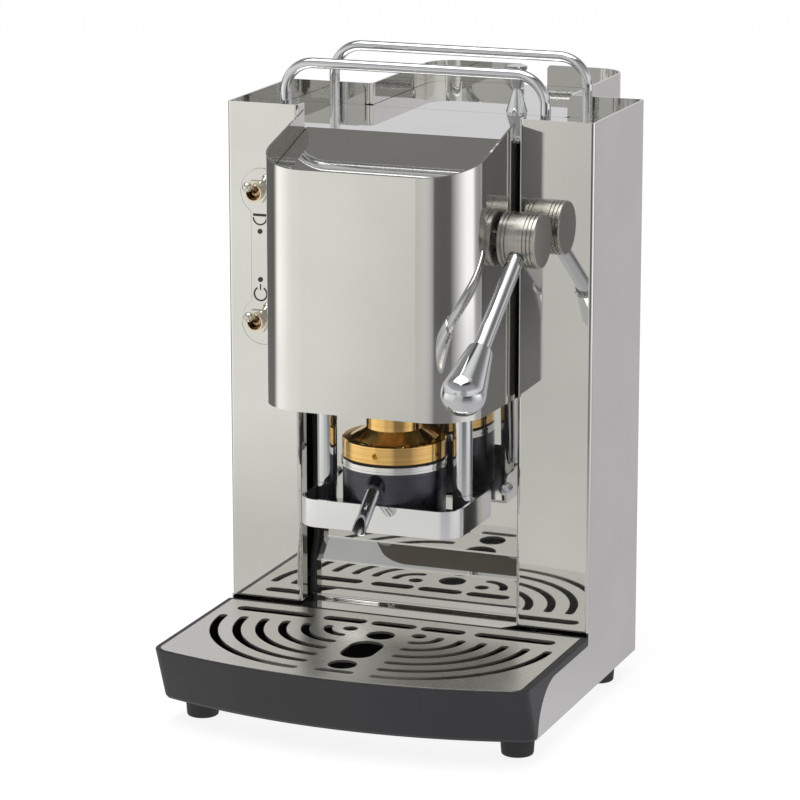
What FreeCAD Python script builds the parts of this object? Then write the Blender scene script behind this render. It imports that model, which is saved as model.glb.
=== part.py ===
import FreeCAD, Part
import math
import os
import Sketcher

# Espresso machine for paper pods: folded steel body, lever-raised brew group, drip tray.
# X runs to the right seen from the front, Y to the back, Z up from the floor.
# The origin lies on the floor, under the middle of the whole machine.

os.makedirs("parts", exist_ok=True)
doc = FreeCAD.newDocument("pod_machine")
sheet = doc.addObject("Spreadsheet::Sheet", "d")
Vec = FreeCAD.Vector
ROLES = {"XY": "XY_Plane", "XZ": "XZ_Plane", "YZ": "YZ_Plane"}
NORMAL = {"XY": 1, "XZ": -1, "YZ": 1}
nodes = []

SIZES = {
    "metal": 1.2,
    "bend": 2.4,
    "body_half": 110,
    "opening_half": 66,
    "front_y": -35,
    "rear_y": 56,
    "base_z": 13,
    "front_bottom_z": 48.5,
    "top_z": 340.5,
    "deck_z": 327.7,
    "return_depth": 9,
    "flange_left": -61.5,
    "flange_right": 64,
    "flange_corner": 5,
    "flank_top_z": 41.8,
    "flank_front_y": -123.8,
    "wrap_left": -58,
    "wrap_right": 66,
    "wrap_front_y": 57.5,
    "wrap_rear_y": 162.7,
    "wrap_top_z": 340.3,
    "wrap_corner": 18,
    "wrap_slot_left": 0,
    "wrap_slot_right": 15,
    "wrap_slot_bottom": 318,
    "wrap_slot_lip": 2.5,
    "base_half": 108.6,
    "base_front_y": -122,
    "wall_half": 66.4,
    "wall_y": -11,
    "wall_top_z": 322,
    "niche_half": 65.5,
    "hood_half": 63.8,
    "hood_front_y": -111,
    "hood_corner": 30,
    "hood_bottom_z": 182.3,
    "hood_bottom_fall": 0.0227,
    "hood_shoulder_z": 317.9,
    "hood_peak_z": 338,
    "slope_fall": 0.31,
    "slope_top_y": -30.6,
    "lid_front_y": 53.3,
    "lid_rear_y": 161.1,
    "knob_x": 31.5,
    "knob_y": 59.5,
    "knob_tall": 27.5,
    "rail_half": 78,
    "rail_radius": 3,
    "rail_bend": 17,
    "rail_top_z": 363.5,
    "rail_foot_z": 313.5,
    "rail_front_y": -25,
    "rail_rear_y": 49,
    "tray_half": 111,
    "tray_front_y": -162.5,
    "tray_arc": 355,
    "tray_low_y": -149.1,
    "tray_low_arc": 328,
    "tray_rear_y": -38.5,
    "tray_top_z": 47,
    "tray_wall": 3.5,
    "tray_floor_z": 20.5,
    "tray_under_z": 18.5,
    "plate_half": 107.3,
    "plate_corner": 7,
    "plate_front_y": -161.3,
    "plate_rear_y": -41.5,
    "plate_metal": 1.5,
    "plate_seat_z": 45.7,
    "foot_x": 95,
    "foot_front_y": -112,
    "foot_rear_y": 30,
    "foot_radius": 10,
    "group_y": -55,
    "bracket_half": 48.2,
    "bracket_front_y": -85.8,
    "bracket_rear_y": -27,
    "bracket_corner": 13,
    "bracket_metal": 1.4,
    "bracket_bottom_z": 109.4,
    "bracket_top_z": 125.5,
    "column_x": 41,
    "column_radius": 5.6,
    "guide_radius": 5.67,
    "bush_radius": 8,
    "head_plate_z": 258,
    "head_plate_metal": 4,
    "head_plate_half": 57,
    "holder_radius": 29.3,
    "holder_bottom_z": 110.9,
    "seat_z": 143.4,
    "seat_top_z": 147.6,
    "seat_radius": 30,
    "pod_radius": 23.3,
    "head_radius": 29.5,
    "head_z": 148.4,
    "carrier_z": 185,
    "carrier_metal": 6,
    "boiler_radius": 30,
    "boiler_top_z": 227,
    "spout_radius": 4.1,
    "spout_tip_radius": 3.85,
    "spout_long": 42,
    "spout_bore": 3.2,
    "spout_fall": 36,
    "spout_y": -83,
    "spout_z": 137,
    "spout_end_y": -108,
    "shaft_y": -56,
    "shaft_z": 277,
    "shaft_radius": 6,
    "shaft_bore": 6.08,
    "crank": 9.5,
    "crank_angle": 227.5,
    "pin_radius": 4,
    "web_radius": 7,
    "hub_radius": 15.4,
    "hub_inner_x": 65.6,
    "hub_outer_x": 88,
    "lever_x": 76.4,
    "lever_fall": 35,
    "rod_radius": 4.75,
    "handle_start": 83,
    "handle_ball": 114.8,
    "handle_neck": 7.1,
    "ball_radius": 12.3,
    "toggle_x": -92,
    "brew_toggle_z": 289.3,
    "power_toggle_z": 213.9,
    "toggle_rise": 19.7,
    "bushing_radius": 5,
    "bushing_bore": 4.3,
    "lamp_x": -90.2,
    "brew_lamp_z": 266.3,
    "power_lamp_z": 238.2,
    "lamp_radius": 1.5,
    "hose_radius": 4,
    "hose_bore": 2.5,
    "tank_top_z": 285,
    "tank_wall": 2.5,
    "switch_hole": 5.15,
    "screw_radius": 2,
    "inlet_x": -91.8,
    "shaft_clear": 7.5,
    "rail_hole": 3.15,
    "plate_dot": 4.25,
    "plate_hole": 8.15,
    "post_screw": 2.5,
    "boiler_flange": 31,
    "stub_radius": 4,
    "feed_hole": 5,
    "feed_radius": 3,
    "feed_bore": 1.8,
    "pin_z": 269.996,
}


def fill_sheet():
    for row, (alias, value) in enumerate(SIZES.items(), 1):
        sheet.set(f"A{row}", alias)
        sheet.set(f"B{row}", str(value))
        sheet.setAlias(f"B{row}", alias)
    doc.recompute()


def size(alias):
    return float(sheet.get(alias))


def bind(item, prop, value):
    item.setExpression(prop, str(value))


def at(item, x=0, y=0, z=0):
    for axis, value in zip("xyz", (x, y, z)):
        bind(item, f"Placement.Base.{axis}", value)
    return item


def node(label, item):
    item.Label = label
    nodes.append(item)
    return item


# Outlines in a sketch plane.

def unit(a, b):
    length = math.hypot(b[0] - a[0], b[1] - a[1])
    return ((b[0] - a[0]) / length, (b[1] - a[1]) / length)


def flat(point):
    return Vec(point[0], point[1], 0)


def outline(corners, closed=True):
    """Lines and tangent arcs through corners (u, v) or (u, v, radius)."""
    count = len(corners)
    stops = []
    for i, corner in enumerate(corners):
        radius = corner[2] if len(corner) > 2 else 0
        ends = not closed and i in (0, count - 1)
        if radius <= 0 or ends:
            stops.append((corner[:2], None, corner[:2]))
            continue
        into = unit(corners[i - 1], corner)
        out = unit(corner, corners[(i + 1) % count])
        cosine = max(-1, min(1, into[0] * out[0] + into[1] * out[1]))
        half = math.acos(cosine) / 2
        reach = radius * math.tan(half)
        lift = radius / math.cos(half) - radius
        across = unit(into, out)
        start = (corner[0] - into[0] * reach, corner[1] - into[1] * reach)
        middle = (corner[0] + across[0] * lift, corner[1] + across[1] * lift)
        end = (corner[0] + out[0] * reach, corner[1] + out[1] * reach)
        stops.append((start, middle, end))
    pieces = []
    for i, (start, middle, end) in enumerate(stops):
        if middle:
            pieces.append(Part.Arc(flat(start), flat(middle), flat(end)))
        if i == count - 1 and not closed:
            break
        after = stops[(i + 1) % count][0]
        if math.hypot(after[0] - end[0], after[1] - end[1]) > 1e-5:
            pieces.append(Part.LineSegment(flat(end), flat(after)))
    return pieces


def strip(path, metal):
    """Outline of a folded sheet: metal to the left of the path, or to its right if negative."""
    turns = [unit(path[i], path[i + 1]) for i in range(len(path) - 1)]
    far = []
    for i, corner in enumerate(path):
        before = turns[max(i - 1, 0)]
        after = turns[min(i, len(turns) - 1)]
        share = 1 + before[0] * after[0] + before[1] * after[1]
        u = corner[0] - (before[1] + after[1]) * metal / share
        v = corner[1] + (before[0] + after[0]) * metal / share
        radius = corner[2] if len(corner) > 2 else 0
        if radius:
            leftward = before[0] * after[1] - before[1] * after[0] > 0
            radius = radius - metal if leftward else radius + metal
        far.append((u, v, radius))
    return outline(list(path) + far[::-1])


def box_outline(u0, v0, u1, v1, radius=0):
    return outline([(u0, v0, radius), (u1, v0, radius), (u1, v1, radius), (u0, v1, radius)])


def slot_outline(u0, v0, u1, v1, radius):
    """Full-round slot from one end centre to the other."""
    along = unit((u0, v0), (u1, v1))
    side = (-along[1] * radius, along[0] * radius)
    tip = (along[0] * radius, along[1] * radius)
    return [
        Part.LineSegment(Vec(u0 - side[0], v0 - side[1], 0), Vec(u1 - side[0], v1 - side[1], 0)),
        Part.Arc(
            Vec(u1 - side[0], v1 - side[1], 0),
            Vec(u1 + tip[0], v1 + tip[1], 0),
            Vec(u1 + side[0], v1 + side[1], 0),
        ),
        Part.LineSegment(Vec(u1 + side[0], v1 + side[1], 0), Vec(u0 + side[0], v0 + side[1], 0)),
        Part.Arc(
            Vec(u0 + side[0], v0 + side[1], 0),
            Vec(u0 - tip[0], v0 - tip[1], 0),
            Vec(u0 - side[0], v0 - side[1], 0),
        ),
    ]


def polar(u, v, radius, degrees):
    turn = math.radians(degrees)
    return Vec(u + radius * math.cos(turn), v + radius * math.sin(turn), 0)


def arc_slot_outline(u, v, radius, half_width, first, last):
    """Curved slot about (u, v) between two angles, with round ends."""
    middle = (first + last) / 2
    cap = math.degrees(half_width / radius)
    outer = [polar(u, v, radius + half_width, turn) for turn in (first, middle, last)]
    inner = [polar(u, v, radius - half_width, turn) for turn in (last, middle, first)]
    return [
        Part.Arc(*outer),
        Part.Arc(outer[2], polar(u, v, radius, last + cap), inner[0]),
        Part.Arc(*inner),
        Part.Arc(inner[2], polar(u, v, radius, first - cap), outer[0]),
    ]


def ring_mark(u, v, alias):
    """A circle whose radius follows a cell of the sheet."""
    return (u, v, alias)


# Sketched bodies.

def new_body(name):
    return doc.addObject("PartDesign::Body", name)


def draw(body, plane, level, wires):
    sketch = body.newObject("Sketcher::SketchObject", "Sketch")
    support = [item for item in body.Origin.OriginFeatures if item.Role == ROLES[plane]][0]
    sketch.AttachmentSupport = (support, [""])
    sketch.MapMode = "FlatFace"
    bind(sketch, "AttachmentOffset.Base.z", f"{NORMAL[plane]} * ({level})")
    for wire in wires:
        if isinstance(wire, tuple):
            u, v, alias = wire
            place = sketch.addGeometry(Part.Circle(Vec(u, v, 0), Vec(0, 0, 1), size(alias)), False)
            rule = sketch.addConstraint(Sketcher.Constraint("Radius", place, size(alias)))
            bind(sketch, f"Constraints[{rule}]", f"d.{alias}")
        else:
            sketch.addGeometry(wire, False)
    return sketch


def pad(body, plane, level, wires, length, toward=1):
    feature = body.newObject("PartDesign::Pad", "Pad")
    feature.Profile = draw(body, plane, level, wires)
    feature.Reversed = toward != NORMAL[plane]
    bind(feature, "Length", length)
    body.Tip = feature
    return feature


def pocket(body, plane, level, wires, length, toward=-1):
    profile = draw(body, plane, level, wires)
    feature = body.newObject("PartDesign::Pocket", "Pocket")
    feature.Profile = profile
    feature.Reversed = toward == NORMAL[plane]
    bind(feature, "Length", length)
    body.Tip = feature
    return feature


def spin(body, corners):
    """Turned shape: corners are (radius, height), turned about the body's Z axis."""
    profile = draw(body, "XZ", 0, [outline(corners)])
    feature = body.newObject("PartDesign::Revolution", "Revolution")
    feature.Profile = profile
    feature.ReferenceAxis = (profile, ["V_Axis"])
    feature.Angle = 360
    body.Tip = feature
    return feature


def round_edges(body, test, radius, kind="PartDesign::Fillet"):
    doc.recompute()
    base = body.Tip
    names = [f"Edge{i}" for i, edge in enumerate(base.Shape.Edges, 1) if test(edge)]
    feature = body.newObject(kind, "Fillet")
    feature.Base = (base, names)
    bind(feature, "Radius" if kind.endswith("Fillet") else "Size", radius)
    body.Tip = feature
    return feature


def edge_near(x=None, z=None, reach=0.05):
    def test(edge):
        centre = edge.BoundBox.Center
        close_x = x is None or abs(centre.x - x) < reach and edge.BoundBox.XLength < reach
        close_z = z is None or abs(centre.z - z) < reach and edge.BoundBox.ZLength < reach
        return close_x and close_z
    return test


# Primitives and booleans.

def block(x0, y0, z0, length, width, height):
    item = doc.addObject("Part::Box", "Block")
    bind(item, "Length", length)
    bind(item, "Width", width)
    bind(item, "Height", height)
    return at(item, x0, y0, z0)


def rod(x, y, z, radius, height, along=(0, 0, 1)):
    item = doc.addObject("Part::Cylinder", "Rod")
    bind(item, "Radius", radius)
    bind(item, "Height", height)
    item.Placement.Rotation = FreeCAD.Rotation(Vec(0, 0, 1), Vec(*along))
    return at(item, x, y, z)


def cut(base, tools):
    for tool in tools:
        item = doc.addObject("Part::Cut", "Cut")
        item.Base = base
        item.Tool = tool
        base = item
    return base


def fuse(pieces):
    item = doc.addObject("Part::MultiFuse", "Fuse")
    item.Shapes = pieces
    return item


def group(pieces):
    item = doc.addObject("Part::Compound", "Group")
    item.Links = pieces
    return item


def tube_ring(x, y, z, outer, inner, height, along=(0, 0, 1)):
    lead = 1
    back = [value - lead * part for value, part in zip((0, 0, 0), along)]
    bore = rod(f"{x} + ({back[0]})", f"{y} + ({back[1]})", f"{z} + ({back[2]})", inner,
               f"({height}) + {2 * lead}", along)
    return cut(rod(x, y, z, outer, height, along), [bore])


def hose(points, radius, outer, inner=0):
    """Tube along straight runs joined by tangent arcs; its volume is checked."""
    route = [Vec(*point) for point in points]
    edges = []
    start = route[0]
    for i in range(1, len(route) - 1):
        into = (route[i] - route[i - 1]).normalize()
        out = (route[i + 1] - route[i]).normalize()
        half = into.getAngle(out) / 2
        reach = radius * math.tan(half)
        across = (out - into).normalize()
        first = route[i] - into * reach
        middle = route[i] + across * (radius / math.cos(half) - radius)
        last = route[i] + out * reach
        edges.append(Part.LineSegment(start, first).toShape())
        edges.append(Part.Arc(first, middle, last).toShape())
        start = last
    edges.append(Part.LineSegment(start, route[-1]).toShape())
    path = Part.Wire(edges)
    along = (route[1] - route[0]).normalize()

    def swept(size_of):
        ring = Part.Wire(Part.makeCircle(size_of, route[0], along))
        return path.makePipeShell([ring], True, True)

    solid = swept(outer)
    if inner:
        solid = solid.cut(swept(inner))
    expected = math.pi * (outer ** 2 - inner ** 2) * path.Length
    if abs(solid.Volume / expected - 1) > 0.01:
        raise ValueError("hose volume differs from section times length")
    item = doc.addObject("Part::Feature", "Hose")
    item.Shape = solid
    return item


# Folded steel body.

def make_casing(label, side, edge_alias):
    body = new_body(label)
    metal = side * size("metal")
    bend = size("bend")
    half = side * size("body_half")
    inner = side * size("opening_half")
    front = size("front_y")
    rear = size("rear_y")
    edge = size(edge_alias)
    upper = [
        (inner, front + size("return_depth")),
        (inner, front, bend),
        (half, front, bend),
        (half, rear, bend),
        (edge, rear),
    ]
    lower = [(half, front), (half, rear, bend), (edge, rear)]
    pad(body, "XY", "d.front_bottom_z", [strip(upper, metal)], "d.top_z - d.front_bottom_z")
    pad(body, "XY", "d.base_z", [strip(lower, metal)], "d.front_bottom_z - d.base_z")
    flank_height = size("flank_top_z") - size("base_z")
    flank = outline([
        (front, size("base_z")),
        (front, size("flank_top_z")),
        (size("flank_front_y"), size("flank_top_z"), flank_height),
        (size("flank_front_y"), size("base_z")),
    ])
    level = "d.body_half - d.metal" if side > 0 else "-d.body_half"
    pad(body, "YZ", level, [flank], "d.metal")
    round_edges(body, edge_near(x=edge, z=size("top_z")), "d.flange_corner")
    return body


def casing_left():
    body = make_casing("casing_left", -1, "flange_left")
    x = size("toggle_x")
    lamp = size("lamp_x")
    marks = [
        ring_mark(x, size("brew_toggle_z"), "switch_hole"),
        ring_mark(x, size("power_toggle_z"), "switch_hole"),
        ring_mark(lamp, size("brew_lamp_z"), "lamp_radius"),
        ring_mark(lamp, size("power_lamp_z"), "lamp_radius"),
    ]
    pocket(body, "XZ", "d.front_y - 1", marks, "d.metal + 2", 1)
    inlet = size("inlet_x")
    opening = box_outline(inlet - 14, 49, inlet + 14, 71, 1.5)
    pocket(body, "XZ", "d.rear_y + 1", [opening], "d.metal + 2", -1)
    return body


def casing_right():
    return make_casing("casing_right", 1, "flange_right")


def rear_wrap():
    body = new_body("rear_wrap")
    left = size("wrap_left")
    right = size("wrap_right")
    front = size("wrap_front_y")
    rear = size("wrap_rear_y")
    bend = size("bend")
    corner = size("wrap_corner")
    path = [
        (left - 18, front),
        (left, front, bend),
        (left, rear, corner),
        (right, rear, corner),
        (right, front, bend),
        (right + 16, front),
    ]
    pad(body, "XY", "d.base_z", [strip(path, -size("metal"))], "d.wrap_top_z - d.base_z")
    x0 = size("wrap_slot_left")
    x1 = size("wrap_slot_right")
    low = size("wrap_slot_bottom")
    notch = outline([(x0, low, 4), (x1, low, 4), (x1, 345), (x0, 345)])
    pocket(body, "XZ", "d.wrap_rear_y + 1", [notch], "d.metal + 2", -1)
    top = size("wrap_top_z")

    def lips(edge):
        return edge_near(x=x0, z=top)(edge) or edge_near(x=x1, z=top)(edge)

    round_edges(body, lips, "d.wrap_slot_lip")
    return body


def rear_floor():
    body = new_body("rear_floor")
    left = size("wrap_left") + size("metal") + 0.2
    right = size("wrap_right") - size("metal") - 0.2
    front = size("wrap_front_y") + 0.3
    rear = size("wrap_rear_y") - size("metal") - 0.2
    corner = size("wrap_corner") - size("metal")
    plan = outline([(left, front), (right, front), (right, rear, corner), (left, rear, corner)])
    pad(body, "XY", "d.base_z + d.metal", [plan], 1.8)
    return body


def base_plate():
    body = new_body("base_plate")
    half = size("base_half")
    low = size("base_z")
    bend = size("bend")
    path = [(-half, low + 16), (-half, low, bend), (half, low, bend), (half, low + 16)]
    pad(body, "XZ", "d.front_y + 2", [strip(path, size("metal"))], "d.rear_y - d.front_y - 4", 1)
    front = size("base_front_y")
    plan = box_outline(-half, front, half, size("front_y") + 2.5)
    pad(body, "XY", "d.base_z", [plan], "d.metal")
    holes = []
    for x in (-size("foot_x"), size("foot_x")):
        for y in (size("foot_front_y"), size("foot_rear_y")):
            holes.append(ring_mark(x, y, "screw_radius"))
    pocket(body, "XY", "d.base_z + 5", holes, 10)
    return body


def chassis_wall():
    body = new_body("chassis_wall")
    half = size("wall_half")
    y = size("wall_y")
    bend = size("bend")
    path = [(-half, y + 15), (-half, y, bend), (half, y, bend), (half, y + 15)]
    low = "d.base_z + d.metal"
    pad(body, "XY", low, [strip(path, size("metal"))], f"d.wall_top_z - ({low})")
    pocket(body, "XZ", "d.wall_y - 1", [ring_mark(17, 307, "hose_radius")], 4, 1)
    return body


def niche_panel():
    body = new_body("niche_panel")
    bend = size("bend")
    path = [(-38, 47), (-18.5, 47, bend), (-18.5, 70, bend), (-13, 83, bend), (-15.8, 185)]
    pad(body, "YZ", "-d.niche_half", [strip(path, -size("metal"))], "2 * d.niche_half")
    clear = size("hood_half") - size("metal") - 0.3
    notches = [box_outline(clear, 179.2, 68, 187), box_outline(-68, 179.2, -clear, 187)]
    pocket(body, "XZ", -22, notches, 10, 1)
    corners = []
    for side in (-1, 1):
        corners.append(outline([
            (side * 58, -40),
            (side * 68, -40),
            (side * 68, -29),
            (side * 66, -29),
            (side * 58, -38.2),
        ]))
    pocket(body, "XY", 50, corners, 6)
    holes = [ring_mark(x, 122.5, "screw_radius") for x in (-52.7, 52.7)]
    pocket(body, "XZ", -20, holes, 8, 1)
    return body


def niche_bolts():
    bolts = []
    for x in (-52.7, 52.7):
        head = rod(x, -17.7, 122.5, 3, 3.4, (0, 1, 0))
        shank = rod(x, -15, 122.5, "d.screw_radius", 3.9, (0, 1, 0))
        socket = doc.addObject("Part::Prism", "Socket")
        socket.Polygon = 6
        bind(socket, "Circumradius", 1.7)
        bind(socket, "Height", 2.5)
        socket.Placement.Rotation = FreeCAD.Rotation(Vec(0, 0, 1), Vec(0, 1, 0))
        at(socket, x, -18.2, 122.5)
        bolts.append(cut(fuse([head, shank]), [socket]))
    return group(bolts)


def niche_seal():
    """Soft black strip that closes the left edge of the niche."""
    body = new_body("niche_seal")
    profile = outline([
        (-18.8, 50),
        (-18.8, 70, 3),
        (-13.4, 83, 4),
        (-16, 179),
        (-17.3, 179),
        (-14.9, 84, 6),
        (-21.4, 69, 5),
        (-21.4, 50),
    ])
    pad(body, "YZ", "-d.niche_half - 0.6", [profile], 1.6)
    return body


def hood():
    body = new_body("hood")
    half = size("hood_half")
    front = size("hood_front_y")
    corner = size("hood_corner")
    rear = size("wall_y") - 0.3
    path = [(-half, rear), (-half, front, corner), (half, front, corner), (half, rear)]
    low = size("hood_bottom_z")
    fall = size("hood_bottom_fall")
    wall = strip(path, size("metal"))
    pad(body, "XY", "d.hood_bottom_z - 4", [wall], "d.hood_peak_z - d.hood_bottom_z + 4")
    shoulder = size("hood_shoulder_z")
    crest = size("front_y") + 0.8
    peak = size("hood_peak_z")
    slope = (peak - shoulder) / (crest - front)
    under = size("deck_z") - size("metal") - 0.3
    above = outline([
        (front - 5, shoulder - 5 * slope),
        (crest, peak),
        (crest, under),
        (rear + 5, under),
        (rear + 5, peak + 9),
        (front - 5, peak + 9),
    ])
    below = outline([
        (front - 5, low + 5 * fall),
        (front - 5, low - 9),
        (rear + 5, low - 9),
        (rear + 5, low - fall * (rear + 5 - front)),
    ])
    pocket(body, "YZ", "d.hood_half + 5", [above, below], "2 * d.hood_half + 10", -1)
    hole = ring_mark(size("shaft_y"), size("shaft_z"), "shaft_clear")
    pocket(body, "YZ", "d.hood_half + 1", [hole], "d.metal + 2", -1)
    return body


def top_panel():
    body = new_body("top_panel")
    deck = size("deck_z")
    metal = size("metal")
    crest = size("slope_top_y")
    fall = size("slope_fall")
    wide = size("hood_half") - metal - 0.3
    front = size("hood_front_y") + metal + 0.3
    corner = size("hood_corner") - metal - 0.3
    plan = outline([(-wide, front, corner), (wide, front, corner), (wide, crest), (-wide, crest)])
    pad(body, "XY", deck - 30, [plan], 30)
    low_front = deck - fall * (crest - front)
    above = outline([
        (crest, deck),
        (front - 2, low_front - 2 * fall),
        (front - 2, deck + 2),
        (crest, deck + 2),
    ])
    below = outline([
        (crest + 1, deck - metal + fall),
        (front - 2, low_front - 2 * fall - metal),
        (front - 2, deck - 34),
        (crest + 1, deck - 34),
    ])
    pocket(body, "YZ", wide + 1, [above, below], 2 * wide + 2, -1)
    edge = size("base_half") - 0.2
    back = size("rear_y") - metal - 0.2
    start = size("front_y") + metal + 0.3
    lid = size("lid_front_y") - 0.4
    plan = outline([
        (-edge, start),
        (-wide, start),
        (-wide, crest),
        (wide, crest),
        (wide, start),
        (edge, start),
        (edge, back),
        (65.5, back),
        (65.5, lid),
        (-60.5, lid),
        (-60.5, back),
        (-edge, back),
    ])
    pad(body, "XY", "d.deck_z - d.metal", [plan], "d.metal")
    cuts = []
    inner = size("opening_half")
    for side in (-1, 1):
        u0, u1 = sorted((side * (inner - 0.4), side * (inner + metal + 0.4)))
        cuts.append(box_outline(u0, start - 1, u1, size("front_y") + size("return_depth") + 0.4))
    for x in (-size("rail_half"), size("rail_half")):
        for y in (size("rail_front_y"), size("rail_rear_y")):
            cuts.append(ring_mark(x, y, "rail_hole"))
    pocket(body, "XY", "d.deck_z + 1", cuts, 4)
    return body


def tank_lid():
    body = new_body("tank_lid")
    left = size("wrap_left") + size("metal") + 0.4
    right = size("flange_right") - 0.5
    rear = size("lid_rear_y")
    plan = outline([
        (left, size("lid_front_y"), 2),
        (right, size("lid_front_y"), 2),
        (right, rear, 16),
        (left, rear, 16),
    ])
    pad(body, "XY", "d.deck_z - d.metal", [plan], "d.metal")
    pocket(body, "XY", "d.deck_z + 1", [ring_mark(size("knob_x"), size("knob_y"), "screw_radius")], 4)
    return body


def lid_knob():
    """Waisted turned knob with its screw through the lid."""
    body = new_body("lid_knob")
    tall = size("knob_tall")
    spin(body, [
        (0, -3),
        (size("screw_radius") - 0.1, -3),
        (size("screw_radius") - 0.1, 0),
        (6.25, 0),
        (6.25, 0.9),
        (2.3, tall / 2 + 0.1, 3),
        (6.15, tall - 0.7),
        (5.6, tall),
        (0, tall),
    ])
    return at(body, "d.knob_x", "d.knob_y", "d.deck_z")


def lid_ledge():
    body = new_body("lid_ledge")
    left = size("wrap_left") + size("metal")
    right = size("wrap_right") - size("metal")
    rear = size("wrap_rear_y") - size("metal")
    corner = size("wrap_corner") - size("metal")
    front = size("wrap_front_y")
    path = [(left, front), (left, rear, corner), (right, rear, corner), (right, front)]
    pad(body, "XY", "d.deck_z - 2 * d.metal", [strip(path, -6)], "d.metal")
    return body


def make_rail(label, y_alias):
    body = new_body(label)
    half = size("rail_half")
    top = size("rail_top_z")
    bend = size("rail_bend")
    foot = size("rail_foot_z")
    route = outline([(-half, foot), (-half, top, bend), (half, top, bend), (half, foot)], False)
    spine = draw(body, "XZ", f"d.{y_alias}", [route])
    start = draw(body, "XY", "d.rail_foot_z", [ring_mark(-half, size(y_alias), "rail_radius")])
    feature = body.newObject("PartDesign::AdditivePipe", "Pipe")
    feature.Profile = start
    feature.Spine = (spine, [])
    body.Tip = feature
    return body


def rail_spots():
    for x in ("-d.rail_half", "d.rail_half"):
        for y in ("d.rail_front_y", "d.rail_rear_y"):
            yield x, y


def rail_nuts():
    pieces = []
    for x, y in rail_spots():
        low = "d.deck_z - d.metal - 4"
        pieces.append(tube_ring(x, y, low, 5.5, "d.rail_radius", 4))
    return group(pieces)


# Drip tray.

def bowed_plan(half, front, arc, corner, back):
    """Plan with a bowed front edge, round front corners and straight sides."""
    centre = front + arc
    turn_x = half - corner
    turn_y = centre - math.sqrt((arc - corner) ** 2 - turn_x ** 2)
    lean = arc / (arc - corner)
    touch = (turn_x * lean, centre + (turn_y - centre) * lean)
    mid = unit((0, centre), (turn_x, turn_y))
    swing = unit((0, 0), ((mid[0] + 1) / 2, mid[1] / 2))
    knee = (turn_x + swing[0] * corner, turn_y + swing[1] * corner)
    return [
        Part.Arc(Vec(-touch[0], touch[1], 0), Vec(0, front, 0), Vec(touch[0], touch[1], 0)),
        Part.Arc(Vec(touch[0], touch[1], 0), Vec(knee[0], knee[1], 0), Vec(half, turn_y, 0)),
        Part.LineSegment(Vec(half, turn_y, 0), Vec(half, back, 0)),
        Part.LineSegment(Vec(half, back, 0), Vec(-half, back, 0)),
        Part.LineSegment(Vec(-half, back, 0), Vec(-half, turn_y, 0)),
        Part.Arc(Vec(-half, turn_y, 0), Vec(-knee[0], knee[1], 0), Vec(-touch[0], touch[1], 0)),
    ]


def rounding(level, radius, toward, turns):
    """Levels and insets along a quarter round that ends an upright wall."""
    for turn in turns:
        angle = math.radians(turn)
        yield level + toward * radius * (1 - math.cos(angle)), radius * (1 - math.sin(angle))


def drip_tray():
    body = new_body("drip_tray")
    half = size("tray_half")
    back = size("tray_rear_y")
    low = size("base_z")
    top = size("tray_top_z")
    steps = list(rounding(low, 2.5, 1, (0, 45, 90))) + list(rounding(top, 1, -1, (90, 45, 0)))
    plans = []
    for level, inset in steps:
        share = (level - low) / (top - low)
        front = size("tray_low_y") + share * (size("tray_front_y") - size("tray_low_y")) + inset
        arc = size("tray_low_arc") + share * (size("tray_arc") - size("tray_low_arc"))
        plans.append(draw(body, "XY", level, [bowed_plan(half - inset, front, arc, 6 + 2 * share, back)]))
    feature = body.newObject("PartDesign::AdditiveLoft", "Loft")
    feature.Profile = plans[0]
    feature.Sections = plans[1:]
    feature.Ruled = True
    body.Tip = feature
    wall = size("tray_wall")
    seat_half = size("plate_half") + 0.3
    seat_corner = size("plate_corner") + 0.3
    seat_front = size("plate_front_y") - 0.3
    seat = bowed_plan(seat_half, seat_front, size("tray_arc"), seat_corner, size("plate_rear_y") + 0.3)
    pocket(body, "XY", "d.tray_top_z + 1", [seat], "d.tray_top_z + 1 - d.plate_seat_z")
    room = bowed_plan(half - 6, size("tray_low_y") + wall, size("tray_low_arc"), 8, back - wall)
    pocket(body, "XY", "d.tray_top_z + 1", [room], "d.tray_top_z + 1 - d.tray_floor_z")
    pocket(body, "XY", "d.base_z - 1", [room], "d.tray_under_z - d.base_z + 1", 1)
    gap = 0.4
    flank = size("flank_top_z") + gap
    notch = outline([
        (back + 2, low - 1),
        (back + 2, flank),
        (size("flank_front_y") - gap, flank, flank - low),
        (size("flank_front_y") - gap, low - 1),
    ])
    inside = "d.body_half - d.metal - 0.4"
    pocket(body, "YZ", "d.tray_half + 1", [notch], f"d.tray_half + 1 - ({inside})", -1)
    pocket(body, "YZ", "-d.tray_half - 1", [notch], f"d.tray_half + 1 - ({inside})", 1)
    runner = box_outline(-half, size("base_front_y") - 1.2, half, back + 1)
    pocket(body, "XY", "d.base_z - 1", [runner], "d.metal + 1.3", 1)
    return body


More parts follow.
